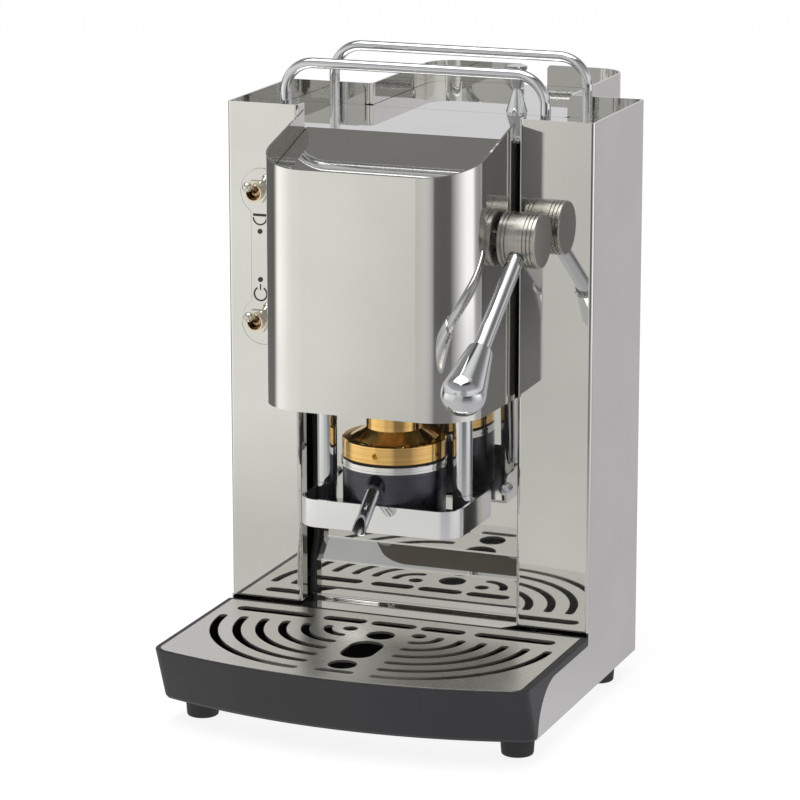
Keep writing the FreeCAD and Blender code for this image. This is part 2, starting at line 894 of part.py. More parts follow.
def drip_plate():
    body = new_body("drip_plate")
    half = size("plate_half")
    front = size("plate_front_y")
    plan = bowed_plan(half, front, size("tray_arc"), size("plate_corner"), size("plate_rear_y"))
    pad(body, "XY", "d.plate_seat_z", [plan], "d.plate_metal")
    cuts = [slot_outline(-9.45, -55.8, 9.45, -55.8, 4.25)]
    for side in (-1, 1):
        cuts.append(slot_outline(side * 20.95, -55.8, side * 39.15, -55.8, 4.25))
        cuts.append(slot_outline(side * 53.45, -55.8, side * 93.05, -55.8, 4.25))
        cuts.append(ring_mark(side * 20.9, -70.5, "plate_dot"))
    for rank in range(1, 7):
        radius = 13 * rank
        cuts.append(arc_slot_outline(-20.9, -70.5, radius, 2.5, 182, 268))
        cuts.append(arc_slot_outline(20.9, -70.5, radius, 2.5, 272, 358))
    cuts.append(ring_mark(0, -76.8, "plate_hole"))
    cuts.append(ring_mark(0, -134.5, "plate_hole"))
    cuts.append(slot_outline(0, -98.5, 0, -112.1, 9.7))
    cuts.append(slot_outline(-9, -146.9, 9, -146.9, 2.5))
    pocket(body, "XY", "d.plate_seat_z + 5", cuts, 10)
    return body


# Feet.

def foot_spots():
    for x in ("-d.foot_x", "d.foot_x"):
        for y in ("d.foot_front_y", "d.foot_rear_y"):
            yield x, y


def make_foot(x, y):
    body = new_body("Foot")
    spin(body, [
        (2.1, 5),
        (5, 5),
        (5, 0),
        (9, 0, 1.2),
        (size("foot_radius"), size("base_z")),
        (2.1, size("base_z")),
    ])
    return at(body, x, y, 0)


def feet():
    return group([make_foot(x, y) for x, y in foot_spots()])


def foot_screws():
    screws = []
    for x, y in foot_spots():
        head = rod(x, y, 2, 4, 3)
        shank = rod(x, y, 2, "d.screw_radius", "d.base_z + d.metal - 2")
        screws.append(fuse([head, shank]))
    return group(screws)


# Pod holder and its bracket.

def pod_bracket():
    """Folded cradle with a front and two sides, open at the back."""
    body = new_body("pod_bracket")
    half = size("bracket_half")
    front = size("bracket_front_y")
    rear = size("bracket_rear_y")
    corner = size("bracket_corner")
    metal = size("bracket_metal")
    top = size("bracket_top_z")
    outer = outline([(-half, front, corner), (half, front, corner), (half, rear), (-half, rear)])
    inner = outline([
        (-half + metal, front + metal, corner - metal),
        (half - metal, front + metal, corner - metal),
        (half - metal, rear + 1),
        (-half + metal, rear + 1),
    ])
    pad(body, "XY", "d.bracket_bottom_z", [outer], "d.bracket_top_z - d.bracket_bottom_z")
    depth = "d.bracket_top_z + 1 - d.bracket_bottom_z - d.bracket_metal"
    pocket(body, "XY", "d.bracket_top_z + 1", [inner], depth)
    holes = [ring_mark(side * size("column_x"), size("group_y"), "post_screw") for side in (-1, 1)]
    pocket(body, "XY", "d.bracket_top_z + 1", holes, 20)

    def back_tips(edge):
        box = edge.BoundBox
        return abs(box.Center.y - rear) < 0.05 and abs(box.Center.z - top) < 0.05 and box.XLength < 2 * metal

    round_edges(body, back_tips, 3)
    return body


def make_column(side):
    body = new_body("Column")
    radius = size("column_radius")
    low = size("bracket_bottom_z") + size("bracket_metal")
    top = size("head_plate_z")
    line = size("bracket_top_z") + 3
    spin(body, [
        (size("post_screw"), low),
        (radius, low),
        (radius, line),
        (radius - 0.4, line + 0.2),
        (radius - 0.4, line + 0.5),
        (radius, line + 0.7),
        (radius, top),
        (4, top),
        (4, top + 10),
        (0, top + 10),
        (0, low + 8),
        (size("post_screw"), low + 8),
    ])
    return at(body, f"{side} * d.column_x", "d.group_y", 0)


def columns():
    return group([make_column(side) for side in (-1, 1)])


def column_nuts():
    low = "d.head_plate_z + d.head_plate_metal"
    return group([tube_ring(f"{side} * d.column_x", "d.group_y", low, 6.4, 4, 4.5) for side in (-1, 1)])


def column_screws():
    screws = []
    for side in (-1, 1):
        x = f"{side} * d.column_x"
        head = rod(x, "d.group_y", "d.bracket_bottom_z - 3", 4.5, 3)
        shank = rod(x, "d.group_y", "d.bracket_bottom_z - 3", "d.post_screw", 12)
        screws.append(fuse([head, shank]))
    return group(screws)


def spout_direction():
    fall = math.radians(size("spout_fall"))
    return (0, -math.cos(fall), -math.sin(fall))


def on_spout(distance):
    along = spout_direction()
    return 0, f"d.spout_y + ({along[1] * distance})", f"d.spout_z + ({along[2] * distance})"


def pod_holder():
    body = new_body("HolderBlank")
    radius = size("holder_radius")
    low = size("holder_bottom_z")
    top = size("seat_z")
    spin(body, [
        (0, low),
        (radius - 1, low),
        (radius, low + 1),
        (radius, top),
        (size("pod_radius"), top),
        (size("pod_radius") - 1, top - 3.4),
        (0, top - 3.4),
    ])
    at(body, 0, "d.group_y", 0)
    along = spout_direction()
    boss = rod(*on_spout(-5), 5.5, 9.7, along)
    inside = rod(0, "d.group_y", low, 22, top - low)
    above = block(-20, -100, top, 40, 60, 20)
    shell = fuse([body, cut(boss, [inside, above])])
    mouth = rod(*on_spout(0), "d.spout_radius", 12, along)
    drop = rod(0, "d.group_y", 136.5, 2, 6)
    channel = rod(0, -85, 137, 2, 30, (0, 1, 0))
    return cut(shell, [mouth, drop, channel])


def pod_seat_ring():
    body = new_body("pod_seat_ring")
    low = size("seat_z")
    top = size("seat_top_z")
    radius = size("seat_radius")
    spin(body, [
        (size("pod_radius"), low),
        (radius, low),
        (radius, low + 1.2),
        (radius - 0.5, low + 1.4),
        (radius - 0.5, low + 1.8),
        (radius, low + 2),
        (radius, top - 0.3),
        (radius - 0.3, top),
        (size("pod_radius"), top),
    ])
    return at(body, 0, "d.group_y", 0)


def pod_spout():
    along = spout_direction()
    outer = doc.addObject("Part::Cone", "Taper")
    bind(outer, "Radius1", "d.spout_radius")
    bind(outer, "Radius2", "d.spout_tip_radius")
    bind(outer, "Height", "d.spout_long")
    outer.Placement.Rotation = FreeCAD.Rotation(Vec(0, 0, 1), Vec(*along))
    at(outer, *on_spout(0))
    inner = rod(*on_spout(-4), "d.spout_bore", "d.spout_long + 10", along)
    beyond = block(-20, "d.spout_end_y - 40", 90, 40, 40, 60)
    return cut(outer, [inner, beyond])


# Moving brew group.

def brew_head():
    body = new_body("HeadBlank")
    radius = size("head_radius")
    low = size("head_z")
    top = size("carrier_z")
    spin(body, [
        (0, low + 2.2),
        (22.4, low + 2.2),
        (22.4, low),
        (radius - 0.6, low),
        (radius, low + 0.6),
        (radius, low + 10.3),
        (radius - 0.6, low + 10.9),
        (24.8, low + 10.9),
        (16, low + 16.2),
        (16, top),
        (0, top),
    ])
    at(body, 0, "d.group_y", 0)
    return cut(body, [rod(0, -86, 153.5, 2, 4.5, (0, 1, 0))])


def head_gasket():
    return tube_ring(0, "d.group_y", "d.seat_top_z + 0.1", 28.6, 23.6, "d.head_z - d.seat_top_z - 0.1")


def shower_screen():
    disc = rod(0, "d.group_y", "d.head_z + 0.6", 22.1, 1)
    screw = rod(0, "d.group_y", "d.head_z - 0.4", 3.5, 2.6)
    return fuse([disc, screw])


def carrier_plate():
    body = new_body("carrier_plate")
    y = size("group_y")
    pad(body, "XY", "d.carrier_z", [box_outline(-50.5, y - 14, 50.5, y + 14, 10)], "d.carrier_metal")
    pad(body, "XY", "d.carrier_z", [ring_mark(0, y, "boiler_flange")], "d.carrier_metal")
    holes = [ring_mark(side * size("column_x"), y, "bush_radius") for side in (-1, 1)]
    pocket(body, "XY", "d.carrier_z + 20", holes, 30)
    return body


def guide_bushes():
    bushes = []
    for side in (-1, 1):
        x = f"{side} * d.column_x"
        bushes.append(tube_ring(x, "d.group_y", "d.carrier_z", "d.bush_radius", "d.guide_radius", 18))
    return group(bushes)


def boiler():
    body = new_body("boiler")
    radius = size("boiler_radius")
    low = size("carrier_z") + size("carrier_metal")
    top = size("boiler_top_z")
    spin(body, [(0, low), (radius, low), (radius, top, 3), (0, top)])
    return at(body, 0, "d.group_y", 0)


def boiler_bolts():
    bolts = []
    for x, y in ((25, 0), (-25, 0), (0, 25), (0, -25)):
        bolt = doc.addObject("Part::Prism", "Bolt")
        bolt.Polygon = 6
        bind(bolt, "Circumradius", 3.2)
        bind(bolt, "Height", 2.8)
        bolts.append(at(bolt, x, f"d.group_y + ({y})", "d.boiler_top_z"))
    return group(bolts)


def heater_band():
    band = tube_ring(0, "d.group_y", 199, "d.boiler_radius + 2.4", "d.boiler_radius + 0.15", 22)
    ears = []
    for x in (-4.5, 1.5):
        ears.append(block(x, "d.group_y + d.boiler_radius + 0.4", 203, 3, 7, 14))
    gap = block(-1.5, -30, 190, 3, 20, 40)
    return cut(fuse([band] + ears), [gap])


def thermostats():
    spots = ((-17, -72), (-17, -38), (17, -38))
    return group([rod(x, y, "d.boiler_top_z", 6.5, 5.5) for x, y in spots])


def crank_yoke():
    body = new_body("crank_yoke")
    y0 = -74
    pad(body, "XY", "d.boiler_top_z", [box_outline(-8, y0, 8, -36, 2)], 4)
    top = size("pin_z") + 11
    post = outline([(-76, 230), (-50, 230), (-52, top, 5), (-76, top, 5)])
    pad(body, "YZ", -4, [post], 8)
    slot = slot_outline(-67.4, size("pin_z"), -60.5, size("pin_z"), 4.7)
    pocket(body, "YZ", 5, [slot], 10, -1)
    return body


def head_plate():
    """Fixed plate that carries the column tops and the lever bearings."""
    body = new_body("head_plate")
    half = size("head_plate_half")
    rear = size("wall_y") - 0.1
    plan = box_outline(-half, -88, half, rear)
    pad(body, "XY", "d.head_plate_z", [plan], "d.head_plate_metal")
    down = box_outline(-half, size("head_plate_z") - 22, half, size("head_plate_z") + 1)
    pad(body, "XZ", "d.wall_y - 0.1", [down], 4, -1)
    cuts = [box_outline(-6, -80, 6, -47, 3), ring_mark(17, -72, "feed_hole")]
    for side in (-1, 1):
        cuts.append(ring_mark(side * size("column_x"), size("group_y"), "stub_radius"))
    pocket(body, "XY", "d.head_plate_z + 20", cuts, 30)
    return body


def bearing_blocks():
    low = "d.head_plate_z + d.head_plate_metal"
    pieces = []
    for x in ("-d.head_plate_half", "d.head_plate_half - 8"):
        stand = block(x, "d.shaft_y - 14", low, 8, 28, 29)
        bore = rod(f"{x} - 1", "d.shaft_y", "d.shaft_z", "d.shaft_bore", 10, (1, 0, 0))
        pieces.append(cut(stand, [bore]))
    return group(pieces)


# Lever.

def lever_shaft():
    body = new_body("lever_shaft")
    y = size("shaft_y")
    z = size("shaft_z")
    turn = math.radians(size("crank_angle"))
    pin_y = y + size("crank") * math.cos(turn)
    pin_z = z + size("crank") * math.sin(turn)
    web = slot_outline(y, z, pin_y, pin_z, size("web_radius"))
    pad(body, "YZ", -5, [ring_mark(pin_y, pin_z, "pin_radius")], 10)
    pad(body, "YZ", 5, [web], 5)
    pad(body, "YZ", -10, [web], 5)
    pad(body, "YZ", 10, [ring_mark(y, z, "shaft_radius")], 74)
    pad(body, "YZ", -59, [ring_mark(y, z, "shaft_radius")], 49)
    return body


def lever_direction():
    fall = math.radians(size("lever_fall"))
    return (0, -math.cos(fall), -math.sin(fall))


def along_lever(distance):
    along = lever_direction()
    return f"d.shaft_y + ({along[1] * distance})", f"d.shaft_z + ({along[2] * distance})"


def lever_hub():
    body = new_body("HubBlank")
    radius = size("hub_radius")
    length = size("hub_outer_x") - size("hub_inner_x")
    bore = size("shaft_radius")
    corners = [(bore, 0), (radius - 0.6, 0), (radius, 0.6)]
    for groove in (2.4, 4.6, 15, 17.2, 19.4):
        corners += [
            (radius, groove),
            (radius - 0.7, groove + 0.2),
            (radius - 0.7, groove + 0.7),
            (radius, groove + 0.9),
        ]
    corners += [
        (radius, length - 0.8),
        (radius - 0.8, length),
        (0, length),
        (0, length - 4),
        (bore, length - 4),
    ]
    spin(body, corners)
    body.Placement.Rotation = FreeCAD.Rotation(Vec(0, 0, 1), Vec(1, 0, 0))
    at(body, "d.hub_inner_x", "d.shaft_y", "d.shaft_z")
    y, z = along_lever(7)
    seat = rod("d.lever_x", y, z, "d.rod_radius", 12, lever_direction())
    y, z = along_lever(14)
    mouth = rod("d.lever_x", y, z, "d.rod_radius + 0.9", 4, lever_direction())
    return cut(body, [seat, mouth])


def lever_rod():
    y, z = along_lever(8.5)
    return rod("d.lever_x", y, z, "d.rod_radius", "d.handle_start - 0.2", lever_direction())


def lever_handle():
    """Tear-shaped grip: a cone that runs tangent into a ball."""
    body = new_body("lever_handle")
    start = size("handle_start")
    centre = size("handle_ball")
    ball = size("ball_radius")
    neck = size("handle_neck")
    edge = 1.2
    lean = math.radians(10)
    for _ in range(20):
        rise = ball * math.cos(lean) - neck
        lean = math.atan2(rise, centre - ball * math.sin(lean) - start - edge)
    touch = (ball * math.cos(lean), centre - ball * math.sin(lean))
    waist = (ball * math.cos(-math.pi / 6), centre + ball * math.sin(math.pi / 6))
    bore = size("rod_radius")
    stops = [(bore, start + 9), (bore, start), (neck - edge, start), (neck, start + edge), touch]
    profile = [Part.LineSegment(flat(first), flat(last)) for first, last in zip(stops, stops[1:])]
    profile.append(Part.Arc(Vec(*touch, 0), Vec(*waist, 0), Vec(0, centre + ball, 0)))
    profile.append(Part.LineSegment(Vec(0, centre + ball, 0), Vec(0, start + 9, 0)))
    profile.append(Part.LineSegment(Vec(0, start + 9, 0), Vec(bore, start + 9, 0)))
    sketch = draw(body, "XZ", 0, [profile])
    feature = body.newObject("PartDesign::Revolution", "Revolution")
    feature.Profile = sketch
    feature.ReferenceAxis = (sketch, ["V_Axis"])
    feature.Angle = 360
    body.Tip = feature
    body.Placement.Rotation = FreeCAD.Rotation(Vec(0, 0, 1), Vec(*lever_direction()))
    return at(body, "d.lever_x", "d.shaft_y", "d.shaft_z")


# Switches and lamps.

def switch_levels():
    return ("d.brew_toggle_z", "d.power_toggle_z")


def switch_bodies():
    pieces = []
    for z in switch_levels():
        case = block("d.toggle_x - 6.5", "d.front_y + d.metal + 0.1", f"{z} - 14", 13, 24, 28)
        neck = rod("d.toggle_x", "d.front_y - 5.5", z, "d.bushing_radius", 7.5, (0, 1, 0))
        bore = rod("d.toggle_x", "d.front_y - 6.5", z, "d.bushing_bore", 11.5, (0, 1, 0))
        tabs = []
        for rise in (-11, -2, 7):
            tabs.append(block("d.toggle_x - 0.4", "d.front_y + 25", f"{z} + ({rise})", 0.8, 7, 4))
        pieces.append(cut(fuse([case, neck] + tabs), [bore]))
    return group(pieces)


def switch_nuts():
    nuts = []
    for z in switch_levels():
        nut = doc.addObject("Part::Prism", "Nut")
        nut.Polygon = 6
        bind(nut, "Circumradius", 7.3)
        bind(nut, "Height", 2.2)
        nut.Placement.Rotation = FreeCAD.Rotation(Vec(0, 0, 1), Vec(0, -1, 0))
        at(nut, "d.toggle_x", "d.front_y", z)
        bore = rod("d.toggle_x", "d.front_y + 1", z, "d.bushing_radius", 6, (0, -1, 0))
        nuts.append(cut(nut, [bore]))
    return group(nuts)


def toggle_pins():
    pins = []
    for z in switch_levels():
        start = "d.toggle_x - d.bushing_bore + 0.05"
        pins.append(rod(start, "d.front_y", z, 0.6, "2 * d.bushing_bore - 0.1", (1, 0, 0)))
    return group(pins)


def make_toggle(z):
    body = new_body("ToggleBlank")
    ball = 3.2
    knob = 2.9
    knob_level = 14.55
    neck = (1.9, math.sqrt(ball ** 2 - 1.9 ** 2))
    throat = (2.2, knob_level - math.sqrt(knob ** 2 - 2.2 ** 2))
    profile = [
        Part.Arc(Vec(0, -ball, 0), Vec(ball, 0, 0), Vec(*neck, 0)),
        Part.LineSegment(Vec(*neck, 0), Vec(1.75, 8, 0)),
        Part.LineSegment(Vec(1.75, 8, 0), Vec(*throat, 0)),
        Part.Arc(Vec(*throat, 0), Vec(knob, knob_level, 0), Vec(0, knob_level + knob, 0)),
        Part.LineSegment(Vec(0, knob_level + knob, 0), Vec(0, -ball, 0)),
    ]
    sketch = draw(body, "XZ", 0, [profile])
    feature = body.newObject("PartDesign::Revolution", "Revolution")
    feature.Profile = sketch
    feature.ReferenceAxis = (sketch, ["V_Axis"])
    feature.Angle = 360
    body.Tip = feature
    rise = math.radians(size("toggle_rise"))
    lean = FreeCAD.Rotation(Vec(0, 0, 1), Vec(0, -math.cos(rise), math.sin(rise)))
    body.Placement.Rotation = lean.multiply(FreeCAD.Rotation(Vec(0, 0, 1), 90))
    at(body, "d.toggle_x", "d.front_y", z)
    bore = rod("d.toggle_x - 5", "d.front_y", z, 0.67, 10, (1, 0, 0))
    return cut(body, [bore])


def indicator_lenses():
    lenses = []
    for z in ("d.brew_lamp_z", "d.power_lamp_z"):
        lenses.append(rod("d.lamp_x", "d.front_y - 0.3", z, "d.lamp_radius", 5, (0, 1, 0)))
    return group(lenses)


# Water and power.

def pump():
    coil = block(-5, 0, 58, 44, 44, 40)
    barrel = rod(17, 22, 44, 16, 62)
    boss = rod(17, 22, 105, 6, 7.5)
    inlet = rod(17, 38.5, 104, "d.hose_bore", 8)
    outlet = rod(17, 22, 112, "d.feed_bore", 6)
    arm = block(12, 30, 100, 10, 12, 6)
    return fuse([coil, barrel, boss, arm, inlet, outlet])


def pump_mounts():
    low = "d.base_z + d.metal"
    return group([rod(17, y, low, 7, f"44 - ({low})") for y in (12, 32)])


def water_tank():
    body = new_body("water_tank")
    wall = size("tank_wall")
    low = size("base_z") + size("metal") + 1.8
    outer = box_outline(-49, 64, 57, 155, 12)
    inner = box_outline(-49 + wall, 64 + wall, 57 - wall, 155 - wall, 12 - wall)
    pad(body, "XY", low, [outer], f"d.tank_top_z - {low}")
    pocket(body, "XY", "d.tank_top_z + 1", [inner], f"d.tank_top_z + 1 - {low} - d.tank_wall")
    return body


def suction_hose():
    points = [(17, 80, 41.5), (17, 80, 314), (17, 38.5, 314), (17, 38.5, 106.5)]
    return hose(points, 14, size("hose_radius"), size("hose_bore"))


def pressure_hose():
    points = [(17, 22, 112.5), (17, 22, 307), (17, -72, 307), (17, -72, 290)]
    return hose(points, 12, size("feed_radius"), size("feed_bore"))


def feed_tube():
    """Bellows that joins the fixed hose to the moving boiler."""
    body = new_body("feed_tube")
    low = size("boiler_top_z")
    high = 290
    count = 12
    pitch = (high - low) / count
    inner = size("feed_bore")
    corners = [(inner, low)]
    for turn in range(count):
        corners.append((3.2, low + pitch * turn))
        corners.append((4.4, low + pitch * (turn + 0.5)))
    corners += [(3.2, high), (inner, high)]
    spin(body, corners)
    return at(body, 17, -72, 0)


def inlet_socket():
    case = block("d.inlet_x - 13.5", 28, 49.5, 27, "d.rear_y - 28", 21)
    flange = block("d.inlet_x - 15", "d.rear_y", 46, 29.5, 2.2, 28)
    recess = block("d.inlet_x - 11", "d.rear_y - 14", 52.5, 22, 20, 15)
    pins = [block(f"d.inlet_x + ({x})", "d.rear_y - 15", 58, 2, 11, 4) for x in (-7.5, -1, 5.5)]
    return fuse([cut(fuse([case, flange]), [recess])] + pins)


def casing_screws():
    screws = []
    for x in (-99, 99):
        for z in (30, 180, 322):
            screws.append(rod(x, "d.rear_y", z, 3.6, 1.8, (0, 1, 0)))
    return group(screws)


def switch_wires():
    """Sleeved leads from the switches down to the mains inlet."""
    points = [(-92, -1.7, 276), (-92, 20, 276), (-92, 20, 60), (-92, 27.9, 60)]
    return hose(points, 7, 2.6)


def build():
    fill_sheet()
    makers = [
        casing_left, casing_right, rear_wrap, rear_floor, base_plate, chassis_wall, niche_panel,
        niche_bolts, niche_seal, hood, top_panel, tank_lid, lid_knob, lid_ledge, rail_nuts,
        drip_tray, drip_plate, feet, foot_screws, pod_bracket, columns, column_nuts,
        column_screws, pod_holder, pod_seat_ring, pod_spout, brew_head, head_gasket, shower_screen,
        carrier_plate, guide_bushes, boiler, boiler_bolts, heater_band, thermostats, crank_yoke,
        head_plate, bearing_blocks, lever_shaft, lever_hub, lever_rod, lever_handle, switch_bodies,
        switch_nuts, toggle_pins, indicator_lenses, pump, pump_mounts, water_tank, suction_hose,
        pressure_hose, feed_tube, inlet_socket, casing_screws, switch_wires,
    ]
    for maker in makers:
        node(maker.__name__, maker())
    node("rail_front", make_rail("rail_front", "rail_front_y"))
    node("rail_rear", make_rail("rail_rear", "rail_rear_y"))
    node("toggle_brew", make_toggle("d.brew_toggle_z"))
    node("toggle_power", make_toggle("d.power_toggle_z"))
    doc.recompute()


def check():
    for item in doc.Objects:
        state = set(item.State)
        if state & {"Invalid", "Error"}:
            raise RuntimeError(f"{item.Name} ({item.Label}) failed: {item.State}")
        if item.TypeId == "PartDesign::Pocket":
            if item.Shape.Volume > item.BaseFeature.Shape.Volume - 0.01:
                raise RuntimeError(f"{item.Name} cuts nothing")
    for item in nodes:
        if item.Shape.isNull() or not item.Shape.isValid():
            raise RuntimeError(f"{item.Label} has no valid shape")


def write():
    for item in nodes:
        item.Shape.exportStep(f"parts/{item.Label}.step")
        box = item.Shape.BoundBox
        limits = (box.XMin, box.XMax, box.YMin, box.YMax, box.ZMin, box.ZMax)
        spans = " ".join(f"{limit:7.1f}" for limit in limits)
        print(f"{item.Label:18s} {len(item.Shape.Solids):2d} {item.Shape.Volume:10.0f} {spans}")


build()
check()
write()
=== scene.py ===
import math

import bmesh
import bpy
from mathutils import Matrix, Vector


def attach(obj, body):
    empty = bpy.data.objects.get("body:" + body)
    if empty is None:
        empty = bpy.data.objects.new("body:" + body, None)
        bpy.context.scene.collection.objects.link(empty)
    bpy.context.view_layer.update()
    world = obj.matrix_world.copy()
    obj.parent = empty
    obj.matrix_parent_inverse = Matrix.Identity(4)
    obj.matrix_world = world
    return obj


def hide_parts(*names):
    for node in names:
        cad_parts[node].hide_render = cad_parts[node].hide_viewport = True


# Looks for a pod espresso machine: mirror polished steel body, brass brew head, black drip tray.

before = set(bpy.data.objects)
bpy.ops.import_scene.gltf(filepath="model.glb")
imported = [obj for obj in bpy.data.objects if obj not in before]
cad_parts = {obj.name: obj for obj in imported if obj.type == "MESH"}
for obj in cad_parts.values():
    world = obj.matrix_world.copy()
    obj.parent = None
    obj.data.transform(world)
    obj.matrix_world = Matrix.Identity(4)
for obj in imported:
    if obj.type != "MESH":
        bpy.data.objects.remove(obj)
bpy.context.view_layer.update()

MM = 0.001

# The camera: its place, its turn and fall in degrees, and its lens.
CAMERA_PLACE = Vector((740.73, -1957.70, 674.09)) * MM
CAMERA_TURN = 21.184
CAMERA_FALL = 13.616
CAMERA_LENS = 167.7

# From here on, sizes and places on the machine are in millimetres.
PANEL_Y = -35.0
STRIP_UNDERSIDE_Z = 109.5
HUB_FACE_X = 87.9

# The middles that turned pieces are round: X and Y of the upright ones, and Y and Z of the lever shaft.
GROUP = (0.0, -55.0)
COLUMN = (41.0, -55.0)
SHAFT = (-56.0, 277.0)

# The switches: their plating starts a little behind the panel, and their bore ends inside the rim.
TOGGLE_X = -92.0
TOGGLE_LEVELS = (213.9, 289.3)
PLATING_BACK = 0.6
BUSHING_RIM = 4.5

# The pressed ridge round the switches. Its section is given across and into the panel.
RELIEF_X = -88.5
RELIEF_RADIUS = 13.7
RELIEF_WAIST = 7.5
RELIEF_SECTION = ((-0.4, 0.05), (0.0, -0.12), (0.4, 0.05))

# The printed signs: the level of each one's ring, and how the ink lies in the panel.
LAMP_X = -90.2
CUP_Z = 274.3
POWER_Z = 229.8
INK_BACK = 0.03
INK_DEPTH = 0.08

# The spout falls forward by SPOUT_FALL degrees. Its end is cut from the top down to SPOUT_LIP over the axis.
SPOUT_ROOT = (0.0, -83.0, 137.0)
SPOUT_FALL = 37.0
SPOUT_RADIUS = 4.1
SPOUT_BORE = 3.4
SPOUT_LENGTH = 33.2
SPOUT_SCOOP = 7.0
SPOUT_LIP = 0.4

# Metallic of the polished metals. A little under 1, it keeps dark reflections from going quite black,
# as in the photograph.
POLISHED = 0.95


def linear(colour):
    """The linear colour of an sRGB hex value such as D8D7CE."""
    parts = [int(colour[i:i + 2], 16) / 255 for i in (0, 2, 4)]
    parts = [p / 12.92 if p <= 0.04045 else ((p + 0.055) / 1.055) ** 2.4 for p in parts]
    return tuple(parts) + (1.0,)


def add(tree, kind, inputs=None, **settings):
    """One node with its settings. An input is a number, a colour or another node's output."""
    item = tree.nodes.new(kind)
    for name, value in settings.items():
        setattr(item, name, value)
    for socket, value in (inputs or {}).items():
        if isinstance(value, bpy.types.NodeSocket):
            tree.links.new(value, item.inputs[socket])
        else:
            item.inputs[socket].default_value = value
    return item


def start(name, colour, metallic, roughness, **sockets):
    """A material with its shader's constants set, and the object's own coordinates."""
    material = bpy.data.materials.new(name)
    material.use_nodes = True
    tree = material.node_tree
    shader = tree.nodes["Principled BSDF"]
    shader.inputs["Base Color"].default_value = linear(colour)
    shader.inputs["Metallic"].default_value = metallic
    shader.inputs["Roughness"].default_value = roughness
    for socket, value in sockets.items():
        shader.inputs[socket.replace("_", " ")].default_value = value
    place = add(tree, "ShaderNodeTexCoord").outputs["Object"]
    return material, tree, shader, place


def noise(tree, place, per_mm, detail, stretch=(1, 1, 1)):
    """Noise whose features are about 1 / per_mm millimetres wide, drawn out along an axis by stretch."""
    scale = tuple(1000 * per_mm / part for part in stretch)
    turned = add(tree, "ShaderNodeMapping", {"Vector": place, "Scale": scale}).outputs[0]
    inputs = {"Vector": turned, "Scale": 1.0, "Detail": detail}
    return add(tree, "ShaderNodeTexNoise", inputs).outputs[0]


def spread(tree, value, low, high, first=0.3, last=0.7):
    """Maps the middle of a noise to the range low to high."""
    return add(tree, "ShaderNodeMapRange", {
        "Value": value, "From Min": first, "From Max": last, "To Min": low, "To Max": high,
    }).outputs[0]


def dent(tree, shader, height, depth_mm, under=None):
    """Bump of that depth, laid over another one where it is given."""
    inputs = {"Height": height, "Distance": depth_mm * MM, "Strength": 1.0}
    if under is not None:
        inputs["Normal"] = under
    bump = add(tree, "ShaderNodeBump", inputs)
    tree.links.new(bump.outputs[0], shader.inputs["Normal"])
    return bump.outputs[0]


def lay_stops(ramp, stops):
    """Gives a colour ramp its stops, each a place from 0 to 1 and a linear colour."""
    elements = ramp.color_ramp.elements
    for i, (place, colour) in enumerate(stops):
        stop = elements[i] if i < 2 else elements.new(1.0)
        stop.position = place
        stop.color = colour


def tint(tree, shader, value, colours):
    """Base colour that runs between hex colours as value goes from 0 to 1."""
    ramp = add(tree, "ShaderNodeValToRGB", {"Fac": value})
    lay_stops(ramp, [(i / (len(colours) - 1), linear(colour)) for i, colour in enumerate(colours)])
    tree.links.new(ramp.outputs[0], shader.inputs["Base Color"])


def sheet_metal(name, colours, shine, haze, wave_mm=0.05, grain=(1, 1, 1)):
    """Rolled sheet: long soft waves, buffing haze and a fine grain drawn out along the rolling direction."""
    material, tree, shader, place = start(name, colours[0], POLISHED, shine)
    smudge = noise(tree, place, 0.02, 2.0)
    fine = noise(tree, place, 2.5, 2.0, grain)
    mixed = add(tree, "ShaderNodeMath", {0: smudge, 1: fine}, operation="ADD").outputs[0]
    tree.links.new(spread(tree, mixed, shine, haze, 0.8, 1.3), shader.inputs["Roughness"])
    tint(tree, shader, spread(tree, smudge, 0.0, 1.0), colours)
    under = dent(tree, shader, noise(tree, place, 0.014, 1.0), wave_mm)
    dent(tree, shader, fine, 0.0004, under)
    return material


def turned_metal(name, colours, shine, centre, axis, pitch_mm, depth_mm):
    """Lathe work: marks run round an axis (0 is X, 2 is Z), by length on a barrel, by radius on an end."""
    material, tree, shader, place = start(name, colours[0], POLISHED, shine)
    parts = add(tree, "ShaderNodeSeparateXYZ", {"Vector": place}).outputs
    across = [i for i in range(3) if i != axis]
    squares = []
    for i, middle in zip(across, centre):
        off = add(tree, "ShaderNodeMath", {0: parts[i], 1: middle * MM}, operation="SUBTRACT").outputs[0]
        squares.append(add(tree, "ShaderNodeMath", {0: off, 1: 2.0}, operation="POWER").outputs[0])
    total = add(tree, "ShaderNodeMath", {0: squares[0], 1: squares[1]}, operation="ADD").outputs[0]
    radius = add(tree, "ShaderNodeMath", {0: total, 1: 0.5}, operation="POWER").outputs[0]
    run = add(tree, "ShaderNodeMath", {0: parts[axis], 1: radius}, operation="ADD").outputs[0]
    turns = add(tree, "ShaderNodeMath", {0: run, 1: 1 / (pitch_mm * MM)}, operation="MULTIPLY").outputs[0]
    inputs = {"W": turns, "Scale": 1.0, "Detail": 2.0}
    marks = add(tree, "ShaderNodeTexNoise", inputs, noise_dimensions="1D").outputs[0]
    smudge = noise(tree, place, 0.15, 2.0)
    tint(tree, shader, spread(tree, marks, 0.0, 1.0), colours)
    tree.links.new(spread(tree, smudge, shine * 0.8, shine * 1.4), shader.inputs["Roughness"])
    dent(tree, shader, marks, depth_mm)
    return material


